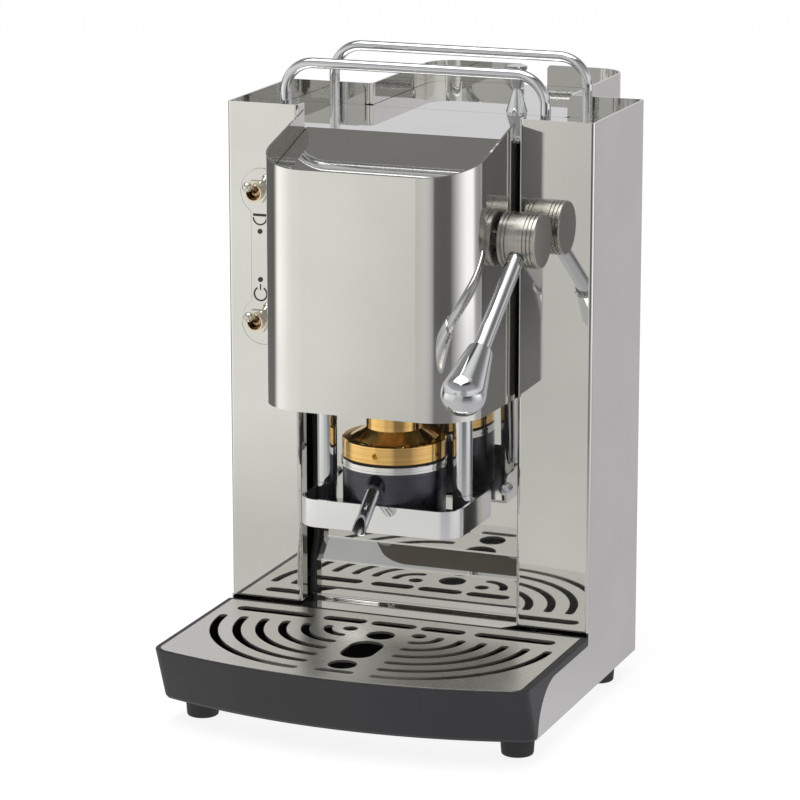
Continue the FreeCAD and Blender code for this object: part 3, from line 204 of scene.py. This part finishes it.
def moulded(name, colours, shine, grain_mm, depth_mm, **sockets):
    """Moulded plastic or rubber: spark-eroded grain, a faint cloud in the colour, and duller high spots."""
    material, tree, shader, place = start(name, colours[0], 0.0, shine, **sockets)
    grain = noise(tree, place, 1 / grain_mm, 2.0)
    cloud = noise(tree, place, 0.03, 3.0)
    tint(tree, shader, spread(tree, cloud, 0.0, 1.0), colours)
    tree.links.new(spread(tree, grain, shine * 0.85, shine * 1.15), shader.inputs["Roughness"])
    dent(tree, shader, grain, depth_mm)
    return material


def beyond(tree, value, edge_mm, blur_mm=0.1):
    """1 where a coordinate is past edge_mm, 0 before it."""
    return spread(tree, value, 0.0, 1.0, (edge_mm - blur_mm) * MM, (edge_mm + blur_mm) * MM)


def within(tree, value, edge_mm, blur_mm=0.1):
    """1 where a coordinate is short of edge_mm, 0 past it."""
    return spread(tree, value, 1.0, 0.0, (edge_mm - blur_mm) * MM, (edge_mm + blur_mm) * MM)


# A Mix node has its numbers in inputs 2 and 3 and output 0, and its colours in inputs 6 and 7 and output 2.

def overlay(tree, shader, socket, mask, value):
    """Another value of a shader's input where the mask is 1."""
    linked = shader.inputs[socket].links
    plain = linked[0].from_socket if linked else shader.inputs[socket].default_value
    if socket == "Base Color":
        inputs = {"Factor": mask, 6: plain, 7: linear(value)}
        mix = add(tree, "ShaderNodeMix", inputs, data_type="RGBA").outputs[2]
    else:
        mix = add(tree, "ShaderNodeMix", {"Factor": mask, 2: plain, 3: value}).outputs[0]
    tree.links.new(mix, shader.inputs[socket])


# Mirror polished 304 stainless sheet: sharp, slightly wavy reflections with a faint warm cast.
mirror_sheet = sheet_metal("mirror_polished_stainless_sheet", ("DAD9D5", "E0DFDB"), 0.015, 0.035)
# The hood is buffed a little less: the same steel with softer reflections.
buffed_sheet = sheet_metal("buffed_stainless_hood", ("DAD9D5", "E0DFDB"), 0.05, 0.08, 0.06, (1, 1, 20))
# Laser cut stainless with a satin polish: pale, flat, and too soft to mirror what stands on it sharply.
plate_sheet = sheet_metal(
    "satin_polished_laser_cut_stainless", ("EAE8E1", "F4F2EC"), 0.27, 0.33, 0.03, (12, 1, 1),
)
# Satin stainless: inner sheets that are left with their rolling grain.
satin_sheet = sheet_metal("satin_rolled_stainless", ("A9A8A4", "B9B8B4"), 0.24, 0.36, 0.05, (1, 25, 25))
# Chrome plate on the rods, the ball, the knob and the screws that show: bright, cold and almost free of haze.
chrome = sheet_metal("chrome_plated_polished_steel", ("D4D6D8", "DDDFE1"), 0.02, 0.05, 0.004)
# Nickel plated brass: warmer than chrome, with a soft plated skin.
nickel = sheet_metal("nickel_plated_brass", ("D8D2C4", "E4DED2"), 0.06, 0.12, 0.003)
# Zinc plated steel: bluish grey and slightly mottled.
zinc = sheet_metal("zinc_plated_steel", ("9A9FA4", "B2B5B8"), 0.28, 0.42, 0.01)
# Cast and machined aluminium: pale and dull.
cast = sheet_metal("machined_cast_aluminium", ("B4B5B7", "C4C5C6"), 0.30, 0.42, 0.02)
ground_shaft = turned_metal("ground_steel_shaft", ("8F8F8E", "A9A9A8"), 0.2, SHAFT, 0, 0.3, 0.004)
# Turned and lacquered brass: a warm gold with fine turning marks.
brass = turned_metal("turned_lacquered_brass", ("E8BA6C", "F8CE86"), 0.06, GROUP, 2, 1.6, 0.0008)
bronze = turned_metal("sintered_bronze", ("8C6239", "A87848"), 0.35, COLUMN, 2, 0.5, 0.004)
boiler_brass = turned_metal("machined_boiler_brass", ("B08A4C", "C8A060"), 0.25, GROUP, 2, 0.8, 0.008)
turned_screen = turned_metal("turned_stainless_screen", ("A9A8A4", "C4C3BF"), 0.2, GROUP, 2, 0.5, 0.005)
# The clamp ring on the pod seat is turned steel, polished on its rounded edges.
seat_steel = turned_metal("polished_turned_seat_ring", ("E4E3DF", "F0EFEC"), 0.06, GROUP, 2, 1.0, 0.002)
# Hard anodised aluminium: near black with a blue-violet cast and a low sheen.
holder_black = turned_metal("hard_anodised_pod_holder", ("4E4E56", "56565E"), 0.28, GROUP, 2, 1.4, 0.0004)
# Moulded ABS of the drip tray: dark warm grey, satin, with fine spark grain.
tray_abs = moulded("satin_moulded_abs", ("232227", "28272C"), 0.45, 0.6, 0.006)
# Nylon mouldings of the inlet socket, the thermostats and the pump: black, slightly glossy.
black_nylon = moulded("moulded_black_nylon", ("161617", "1E1E20"), 0.38, 0.5, 0.004)
# Moulded rubber: matt black that catches light only along edges.
rubber = moulded("matt_moulded_rubber", ("1E1E20", "29292B"), 0.62, 0.5, 0.008)
# Clear blow moulded tank: faintly blue, with soft thickness waves.
tank_clear = moulded(
    "clear_moulded_copolyester", ("E2EAEE", "EEF3F5"), 0.12, 12.0, 0.05,
    Transmission_Weight=0.85, IOR=1.52,
)
# Silicone hose: milky and a little soft.
silicone = moulded(
    "translucent_silicone_hose", ("D9D6CC", "E4E1D8"), 0.4, 1.5, 0.01,
    Transmission_Weight=0.3, IOR=1.41,
)
# Woven glass sleeve round the leads: dark grey with a fine grain bump.
sleeve = moulded("woven_glass_sleeve", ("2A2A2C", "3A3A3C"), 0.7, 0.9, 0.05)
# Smoked lens of the lamps, unlit.
lens = moulded("smoked_lamp_lens", ("2B2A29", "343230"), 0.12, 2.0, 0.002)
# Screen printed ink: dark olive grey, with a faint cloud and a fine grain.
ink = moulded("screen_printed_ink", ("2C2B27", "363530"), 0.5, 0.3, 0.003)


def reopen(material):
    """A made material's tree and shader, and the object's own coordinates."""
    tree = material.node_tree
    place = add(tree, "ShaderNodeTexCoord").outputs["Object"]
    return tree, tree.nodes["Principled BSDF"], place


def polished_strip():
    """Folded aluminium strip, polished on its upright walls, and duller underneath with painted shade in dark
    brown there.
    """
    colours = ("F0F0F0", "F7F7F7")
    material = sheet_metal("polished_folded_aluminium", colours, 0.07, 0.12, 0.02, (20, 1, 1))
    tree, shader, place = reopen(material)
    height = add(tree, "ShaderNodeSeparateXYZ", {"Vector": place}).outputs["Z"]
    # Painted shade: below the underside level the strip is coloured dark brown and made rougher.
    under = within(tree, height, STRIP_UNDERSIDE_Z, 0.05)
    overlay(tree, shader, "Base Color", under, "5A5248")
    overlay(tree, shader, "Roughness", under, 0.4)
    return material


def turned_end():
    """Turned stainless of the lever hub: satin barrel, and an end face that the facing cut leaves duller."""
    material = turned_metal("turned_stainless_hub", ("A5A39C", "BAB8B1"), 0.24, SHAFT, 0, 0.45, 0.003)
    tree, shader, place = reopen(material)
    along = add(tree, "ShaderNodeSeparateXYZ", {"Vector": place}).outputs["X"]
    face = beyond(tree, along, HUB_FACE_X, 0.05)
    overlay(tree, shader, "Base Color", face, "A6A49E")
    overlay(tree, shader, "Roughness", face, 0.45)
    return material


def switch_mould():
    """Switch: black moulded case behind the sheet, nickel bushing in front of it, brass tinted inside."""
    material, tree, shader, place = start("moulded_switch_with_plated_bushing", "161617", 0.0, 0.4)
    x, y, z = add(tree, "ShaderNodeSeparateXYZ", {"Vector": place}).outputs
    grain = noise(tree, place, 1.6, 2.0)
    tint(tree, shader, spread(tree, grain, 0.0, 1.0), ("151516", "1F1F21"))
    plated = within(tree, y, PANEL_Y + PLATING_BACK, 0.05)
    low, high = TOGGLE_LEVELS
    off = add(tree, "ShaderNodeMath", {0: z, 1: (low + high) / 2 * MM}, operation="SUBTRACT").outputs[0]
    off = add(tree, "ShaderNodeMath", {0: off}, operation="ABSOLUTE").outputs[0]
    rise = add(tree, "ShaderNodeMath", {0: off, 1: (high - low) / 2 * MM}, operation="SUBTRACT").outputs[0]
    side = add(tree, "ShaderNodeMath", {0: x, 1: TOGGLE_X * MM}, operation="SUBTRACT").outputs[0]
    flat = add(tree, "ShaderNodeCombineXYZ", {0: side, 1: rise}).outputs[0]
    reach = add(tree, "ShaderNodeVectorMath", {0: flat}, operation="LENGTH").outputs["Value"]
    bore = within(tree, reach, BUSHING_RIM)
    overlay(tree, shader, "Base Color", plated, "E0DACC")
    overlay(tree, shader, "Base Color", bore, "E6C8A4")
    metal = add(tree, "ShaderNodeMath", {0: plated, 1: bore}, operation="MAXIMUM").outputs[0]
    overlay(tree, shader, "Metallic", metal, 1.0)
    tree.links.new(spread(tree, grain, 0.12, 0.22), shader.inputs["Roughness"])
    dent(tree, shader, grain, 0.003)
    return material


def spout_tube():
    """Polished stainless spout: bright outside, and a dull reamed bore that light spreads in."""
    material = sheet_metal("polished_spout_with_reamed_bore", ("D4D6D8", "DDDFE1"), 0.02, 0.05, 0.004)
    tree, shader, place = reopen(material)
    fall = math.radians(SPOUT_FALL)
    along = (0.0, -math.cos(fall), -math.sin(fall))
    inputs = {0: place, 1: Vector(SPOUT_ROOT) * MM}
    off = add(tree, "ShaderNodeVectorMath", inputs, operation="SUBTRACT").outputs[0]
    across = add(tree, "ShaderNodeVectorMath", {0: off, 1: along}, operation="CROSS_PRODUCT").outputs[0]
    reach = add(tree, "ShaderNodeVectorMath", {0: across}, operation="LENGTH").outputs["Value"]
    bore = within(tree, reach, SPOUT_BORE + 0.08, 0.05)
    overlay(tree, shader, "Roughness", bore, 0.4)
    overlay(tree, shader, "Base Color", bore, "A8A7A2")
    return material


aluminium_strip = polished_strip()
bored_chrome = spout_tube()
turned_hub = turned_end()
switch_plastic = switch_mould()

FINISHES = {
    mirror_sheet: "casing_left casing_right rear_wrap niche_panel tank_lid top_panel",
    buffed_sheet: "hood",
    plate_sheet: "drip_plate",
    satin_sheet: (
        "rear_floor base_plate chassis_wall lid_ledge carrier_plate crank_yoke head_plate heater_band"
    ),
    chrome: "rail_front rail_rear columns lever_rod lever_handle lid_knob casing_screws niche_bolts",
    bored_chrome: "pod_spout",
    aluminium_strip: "pod_bracket",
    nickel: "switch_nuts toggle_brew toggle_power toggle_pins",
    zinc: "rail_nuts foot_screws column_nuts column_screws boiler_bolts",
    cast: "bearing_blocks",
    turned_hub: "lever_hub",
    ground_shaft: "lever_shaft",
    brass: "brew_head",
    bronze: "guide_bushes",
    boiler_brass: "boiler",
    turned_screen: "shower_screen",
    seat_steel: "pod_seat_ring",
    holder_black: "pod_holder",
    tray_abs: "drip_tray",
    black_nylon: "thermostats pump inlet_socket",
    switch_plastic: "switch_bodies",
    rubber: "niche_seal head_gasket feet pump_mounts",
    tank_clear: "water_tank",
    silicone: "suction_hose pressure_hose feed_tube",
    sleeve: "switch_wires",
    lens: "indicator_lenses",
}

for material, names in FINISHES.items():
    for name in names.split():
        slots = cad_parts[name].data.materials
        slots.clear()
        slots.append(material)


# The scene's own pieces: the spout, the pressed ridge round the switches and the two printed signs.

def stand(name, shape, material):
    """Turns a bmesh into an object of that material."""
    mesh = bpy.data.meshes.new(name)
    shape.to_mesh(mesh)
    shape.free()
    mesh.materials.append(material)
    item = bpy.data.objects.new(name, mesh)
    bpy.context.scene.collection.objects.link(item)
    return item


def piece(name, shape, material, body):
    """Turns a bmesh into a piece that rides on a body."""
    bmesh.ops.remove_doubles(shape, verts=shape.verts, dist=1e-7)
    bmesh.ops.recalc_face_normals(shape, faces=shape.faces)
    item = stand(name, shape, material)
    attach(item, body)
    return item


def swept_bar(shape, centre, radius, width, depth, first, last, steps):
    """A flat bar bent round centre in the XZ plane, between two angles, anticlockwise seen from the front."""
    x, y, z = centre
    near = radius - width / 2
    far = radius + width / 2
    turn = math.radians(first)
    made = []
    for reach, level in ((near, y), (far, y), (far, y - depth), (near, y - depth)):
        corner = Vector((x + reach * math.cos(turn), level, z + reach * math.sin(turn)))
        made.append(shape.verts.new(corner * MM))
    face = shape.faces.new(made)
    bmesh.ops.spin(
        shape, geom=[face] + list(face.edges) + made, cent=Vector(centre) * MM, axis=(0, -1, 0),
        angle=math.radians(last - first), steps=steps, use_merge=False,
    )


def flat_bar(shape, centre, length, depth, height):
    """A straight bar with its middle at centre."""
    made = bmesh.ops.create_cube(shape, size=1.0)["verts"]
    bmesh.ops.scale(shape, vec=Vector((length, depth, height)) * MM, verts=made)
    bmesh.ops.translate(shape, vec=Vector(centre) * MM, verts=made)


def ridge(shape, corners, x, z):
    """Starts a ridge with its section at (x, z), flat against the panel."""
    return [shape.verts.new(Vector((x + across, PANEL_Y + depth, z)) * MM) for across, depth in corners]


def spout():
    """The pod holder's spout: a straight tube whose square end is scooped out on top to about half height."""
    shape = bmesh.new()
    root = Vector(SPOUT_ROOT)
    fall = math.radians(SPOUT_FALL)
    along = Vector((0.0, -math.cos(fall), -math.sin(fall)))
    up = Vector((0.0, -math.sin(fall), math.cos(fall)))
    made = []
    for reach, far in (
        (SPOUT_BORE, 0.0), (SPOUT_RADIUS, 0.0), (SPOUT_RADIUS, SPOUT_LENGTH), (SPOUT_BORE, SPOUT_LENGTH),
    ):
        made.append(shape.verts.new((root + Vector((reach, 0, 0)) + along * far) * MM))
    edges = [shape.edges.new((made[i], made[i - 1])) for i in range(4)]
    bmesh.ops.spin(
        shape, geom=edges + made, cent=root * MM, axis=along, angle=math.tau, steps=72, use_merge=True,
    )
    whole = list(shape.verts) + list(shape.edges) + list(shape.faces)
    lip = root + along * SPOUT_LENGTH + up * SPOUT_LIP
    out = along * (SPOUT_BORE - SPOUT_LIP) + up * SPOUT_SCOOP
    made = bmesh.ops.bisect_plane(
        shape, geom=whole, dist=1e-7, plane_co=lip * MM, plane_no=out, clear_outer=True,
    )["geom_cut"]
    rim = [item for item in made if isinstance(item, bmesh.types.BMEdge)]
    bmesh.ops.triangle_fill(shape, edges=rim, use_beauty=True)
    item = piece("spout", shape, bored_chrome, "frame")
    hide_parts("pod_spout")


def switch_relief():
    """Low ridge pressed in the sheet: two large arcs round the switches, joined by straight sides."""
    shape = bmesh.new()
    low, high = TOGGLE_LEVELS
    section = RELIEF_SECTION
    waist = math.degrees(math.acos(RELIEF_WAIST / RELIEF_RADIUS))
    fall = math.sqrt(RELIEF_RADIUS ** 2 - RELIEF_WAIST ** 2)
    for level, upward in ((high, 1), (low, -1)):
        made = ridge(shape, section, RELIEF_X + upward * RELIEF_RADIUS, level)
        face = shape.faces.new(made)
        centre = Vector((RELIEF_X, PANEL_Y, level)) * MM
        start_turn = Matrix.Rotation(math.radians(waist), 3, "Y")
        bmesh.ops.rotate(shape, verts=made, cent=centre, matrix=start_turn)
        bmesh.ops.spin(
            shape, geom=[face] + list(face.edges) + made, cent=centre, axis=(0, -1, 0),
            angle=math.radians(180 + 2 * waist), steps=64, use_merge=False,
        )
    for side in (-1, 1):
        made = ridge(shape, section, RELIEF_X + side * RELIEF_WAIST, low + fall)
        face = shape.faces.new(made)
        grown = bmesh.ops.extrude_face_region(shape, geom=[face])["geom"]
        tips = [item for item in grown if isinstance(item, bmesh.types.BMVert)]
        bmesh.ops.translate(shape, verts=tips, vec=(0, 0, (high - low - 2 * fall) * MM))
    piece("switch_relief", shape, mirror_sheet, "frame")


def cup_sign():
    """Cup: a bar over half a ring."""
    shape = bmesh.new()
    flat_bar(shape, (LAMP_X, PANEL_Y + INK_BACK - INK_DEPTH / 2, CUP_Z + 1.5), 8.6, INK_DEPTH, 1.5)
    swept_bar(shape, (LAMP_X, PANEL_Y + INK_BACK, CUP_Z), 4.1, 0.9, INK_DEPTH, 180, 360, 32)
    piece("cup_sign", shape, ink, "frame")


def power_sign():
    """Power: a ring that is open at the top, with a bar in the gap."""
    shape = bmesh.new()
    flat_bar(shape, (LAMP_X, PANEL_Y + INK_BACK - INK_DEPTH / 2, POWER_Z + 4.0), 0.8, INK_DEPTH, 3.4)
    swept_bar(shape, (LAMP_X, PANEL_Y + INK_BACK, POWER_Z), 3.9, 1.0, INK_DEPTH, 120, 420, 56)
    piece("power_sign", shape, ink, "frame")


spout()
switch_relief()
cup_sign()
power_sign()


# The studio: a pale floor, a soft sky, and light cards that only reflections see. Its places are in metres.
FLOOR_HALF = 20.0
FLOOR_GLOW = 0.86
CARDS_RADIUS = 19.0
CARDS_LIFT = 0.4 * MM
SOFT_BOX_PLACE = Vector((-0.2, -0.3, 1.7))
SOFT_BOX_AIM = Vector((0.0, 0.0, 0.1))


def place_camera():
    """The camera at the photograph's viewing angle."""
    data = bpy.data.cameras.new("camera")
    data.lens = CAMERA_LENS
    data.sensor_width = 36.0
    data.clip_end = 50.0
    camera = bpy.data.objects.new("camera", data)
    camera.location = CAMERA_PLACE
    camera.rotation_euler = (math.radians(90 - CAMERA_FALL), 0, math.radians(CAMERA_TURN))
    bpy.context.scene.collection.objects.link(camera)
    bpy.context.scene.camera = camera


def lay_floor():
    """Pale floor that glows, so that it stays white behind the machine."""
    shape = bmesh.new()
    bmesh.ops.create_grid(shape, x_segments=1, y_segments=1, size=FLOOR_HALF)
    material = start(
        "pale_studio_floor", "8C8C8C", 0.0, 0.9,
        Specular_IOR_Level=0.0, Emission_Color=(1, 1, 1, 1), Emission_Strength=FLOOR_GLOW,
    )[0]
    stand("floor", shape, material)


# What stands round the table, by direction: 0 is straight in front, positive to the right.
# Each entry is a direction in degrees and how bright the table, its edge and the cards beyond it are there.
CARDS = (
    (-180, 0.55, 0.58, 0.60), (-168, 0.53, 0.14, 0.12), (-92, 0.60, 0.14, 0.11), (-86, 0.64, 0.50, 0.55),
    (-80, 0.66, 1.05, 1.20), (-72, 0.68, 1.15, 1.32), (-60, 0.68, 1.08, 1.18), (-50, 0.68, 0.98, 1.02),
    (-38, 0.68, 0.92, 0.93), (-28, 0.68, 0.90, 0.92), (-21, 0.68, 0.84, 0.88), (-18, 0.68, 0.70, 0.74),
    (-15, 0.68, 0.62, 0.63), (-8, 0.68, 0.62, 0.65), (3, 0.68, 0.62, 0.68), (11, 0.68, 0.56, 0.60),
    (17, 0.66, 0.38, 0.42), (20.5, 0.62, 0.20, 0.11), (36, 0.60, 0.20, 0.09), (52, 0.60, 0.22, 0.10),
    (57, 0.62, 0.40, 0.28), (65, 0.62, 0.58, 0.56), (77, 0.62, 0.80, 1.00), (88, 0.60, 0.95, 1.32),
    (104, 0.58, 0.90, 1.36), (114, 0.56, 0.50, 0.45), (126, 0.55, 0.44, 0.32), (144, 0.55, 0.54, 0.52),
    (180, 0.55, 0.58, 0.60),
)
BRIGHTEST = 1.4
# How far out the table's brightness turns into its edge's, and that into the cards' beyond.
TABLE_EDGE = (0.40, 0.74)
CARDS_EDGE = (0.95, 1.2)
# The cards' cast: warm between these directions, cool elsewhere.
WARM_SIDE = (-120, 5)
WARM = (1.0, 0.995, 0.955)
COOL = (0.985, 0.97, 1.0)


def lay_cards():
    """A disc just over the floor that carries the light cards. Only reflections see it."""
    shape = bmesh.new()
    bmesh.ops.create_circle(shape, cap_ends=True, segments=64, radius=CARDS_RADIUS)
    bmesh.ops.translate(shape, verts=shape.verts, vec=(0, 0, CARDS_LIFT))
    material = bpy.data.materials.new("light_cards")
    material.use_nodes = True
    tree = material.node_tree
    tree.nodes.clear()
    place = add(tree, "ShaderNodeTexCoord").outputs["Object"]
    x, y, _ = add(tree, "ShaderNodeSeparateXYZ", {"Vector": place}).outputs
    ahead = add(tree, "ShaderNodeMath", {0: y, 1: -1.0}, operation="MULTIPLY").outputs[0]
    turn = add(tree, "ShaderNodeMath", {0: x, 1: ahead}, operation="ARCTAN2").outputs[0]
    share = spread(tree, turn, 0.0, 1.0, -math.pi, math.pi)
    reach = add(tree, "ShaderNodeVectorMath", {0: place}, operation="LENGTH").outputs["Value"]
    ramps = []
    for column in (1, 2, 3):
        stops = []
        for card in CARDS:
            cast = WARM if WARM_SIDE[0] < card[0] < WARM_SIDE[1] else COOL
            light = tuple(card[column] / BRIGHTEST * part for part in cast)
            stops.append(((card[0] + 180) / 360, light + (1.0,)))
        ramp = add(tree, "ShaderNodeValToRGB", {"Fac": share})
        lay_stops(ramp, stops)
        ramps.append(ramp.outputs[0])
    edge = spread(tree, reach, 0.0, 1.0, *CARDS_EDGE)
    far = add(tree, "ShaderNodeMix", {"Factor": edge, 6: ramps[1], 7: ramps[2]}, data_type="RGBA").outputs[2]
    near = spread(tree, reach, 0.0, 1.0, *TABLE_EDGE)
    seen = add(tree, "ShaderNodeMix", {"Factor": near, 6: ramps[0], 7: far}, data_type="RGBA").outputs[2]
    light = add(tree, "ShaderNodeEmission", {"Color": seen, "Strength": BRIGHTEST}).outputs[0]
    add(tree, "ShaderNodeOutputMaterial", {"Surface": light})
    cards = stand("light_cards", shape, material)
    for rays in ("camera", "diffuse", "shadow", "transmission", "volume_scatter"):
        setattr(cards, "visible_" + rays, False)


# Sky by height: sine of the angle above the horizon, then a hex colour and its brightness.
SKY_BEHIND = (
    (0.00, "B8B6B2", 0.50), (0.10, "B8B6B4", 0.55), (0.14, "F0F0F4", 0.82), (0.28, "F0F0F4", 0.84),
    (0.42, "C9C4C2", 0.72), (0.55, "A09C9A", 0.60), (0.80, "949291", 0.54), (0.93, "F4F4F4", 1.05),
    (1.00, "FFFFFF", 1.20),
)
SKY_AHEAD = (
    (0.00, "E6E6E4", 0.95), (0.34, "EDEDEA", 1.08), (0.45, "C4C5C6", 0.85), (0.78, "A0A1A4", 0.80),
    (0.84, "262628", 1.00), (0.91, "262628", 1.00), (0.94, "FFFFFF", 1.20), (1.00, "FFFFFF", 1.20),
)
# Where the sky ahead turns into the one behind, as the Y of a direction.
SKY_SEAM = (-0.15, 0.25)
# Two dark spots in the sky, one low on the left and one near the camera. Each is a direction, then the
# cosines where it starts and is full, and what it leaves of the light.
DARK_SPOTS = (
    ((-0.358, -0.922, 0.147), 0.9877, 0.9955, 0.60),
    ((0.351, -0.906, 0.235), 0.93, 0.985, 0.45),
)


def sky_ramp(tree, height, levels):
    """The sky's light by height, as one of the two tables gives it."""
    stops = []
    for level, colour, bright in levels:
        light = tuple(part * bright / BRIGHTEST for part in linear(colour)[:3])
        stops.append((level, light + (1.0,)))
    ramp = add(tree, "ShaderNodeValToRGB", {"Fac": height})
    lay_stops(ramp, stops)
    return ramp.outputs[0]


def hang_sky():
    """Soft sky: pale walls, a darker ceiling line and a large soft box overhead. The camera sees it white."""
    world = bpy.data.worlds.new("soft_studio")
    bpy.context.scene.world = world
    world.use_nodes = True
    tree = world.node_tree
    tree.nodes.clear()
    way = add(tree, "ShaderNodeTexCoord").outputs["Generated"]
    _, y, z = add(tree, "ShaderNodeSeparateXYZ", {"Vector": way}).outputs
    behind = spread(tree, y, 0.0, 1.0, *SKY_SEAM)
    inputs = {"Factor": behind, 6: sky_ramp(tree, z, SKY_AHEAD), 7: sky_ramp(tree, z, SKY_BEHIND)}
    light = add(tree, "ShaderNodeMix", inputs, data_type="RGBA").outputs[2]
    for aim, first, full, left in DARK_SPOTS:
        near = add(tree, "ShaderNodeVectorMath", {0: way, 1: aim}, operation="DOT_PRODUCT").outputs["Value"]
        shade = spread(tree, near, 1.0, left, first, full)
        light = add(tree, "ShaderNodeVectorMath", {0: light, "Scale": shade}, operation="SCALE").outputs[0]
    inputs = {"Factor": add(tree, "ShaderNodeLightPath").outputs["Is Camera Ray"], 6: light, 7: (1, 1, 1, 1)}
    seen = add(tree, "ShaderNodeMix", inputs, data_type="RGBA").outputs[2]
    back = add(tree, "ShaderNodeBackground", {"Color": seen, "Strength": BRIGHTEST}).outputs[0]
    add(tree, "ShaderNodeOutputWorld", {"Surface": back})


def hang_soft_box():
    """A wide soft lamp overhead, turned towards the machine."""
    data = bpy.data.lights.new("soft_box_above", "AREA")
    data.shape = "RECTANGLE"
    data.size = 1.4
    data.size_y = 1.2
    data.energy = 14.0
    lamp = bpy.data.objects.new("soft_box_above", data)
    lamp.location = SOFT_BOX_PLACE
    lamp.rotation_euler = (SOFT_BOX_AIM - SOFT_BOX_PLACE).to_track_quat("-Z", "Y").to_euler()
    bpy.context.scene.collection.objects.link(lamp)


place_camera()
lay_floor()
lay_cards()
hang_sky()
hang_soft_box()
bpy.context.scene.view_settings.view_transform = "Standard"
bpy.context.scene.view_settings.look = "None"
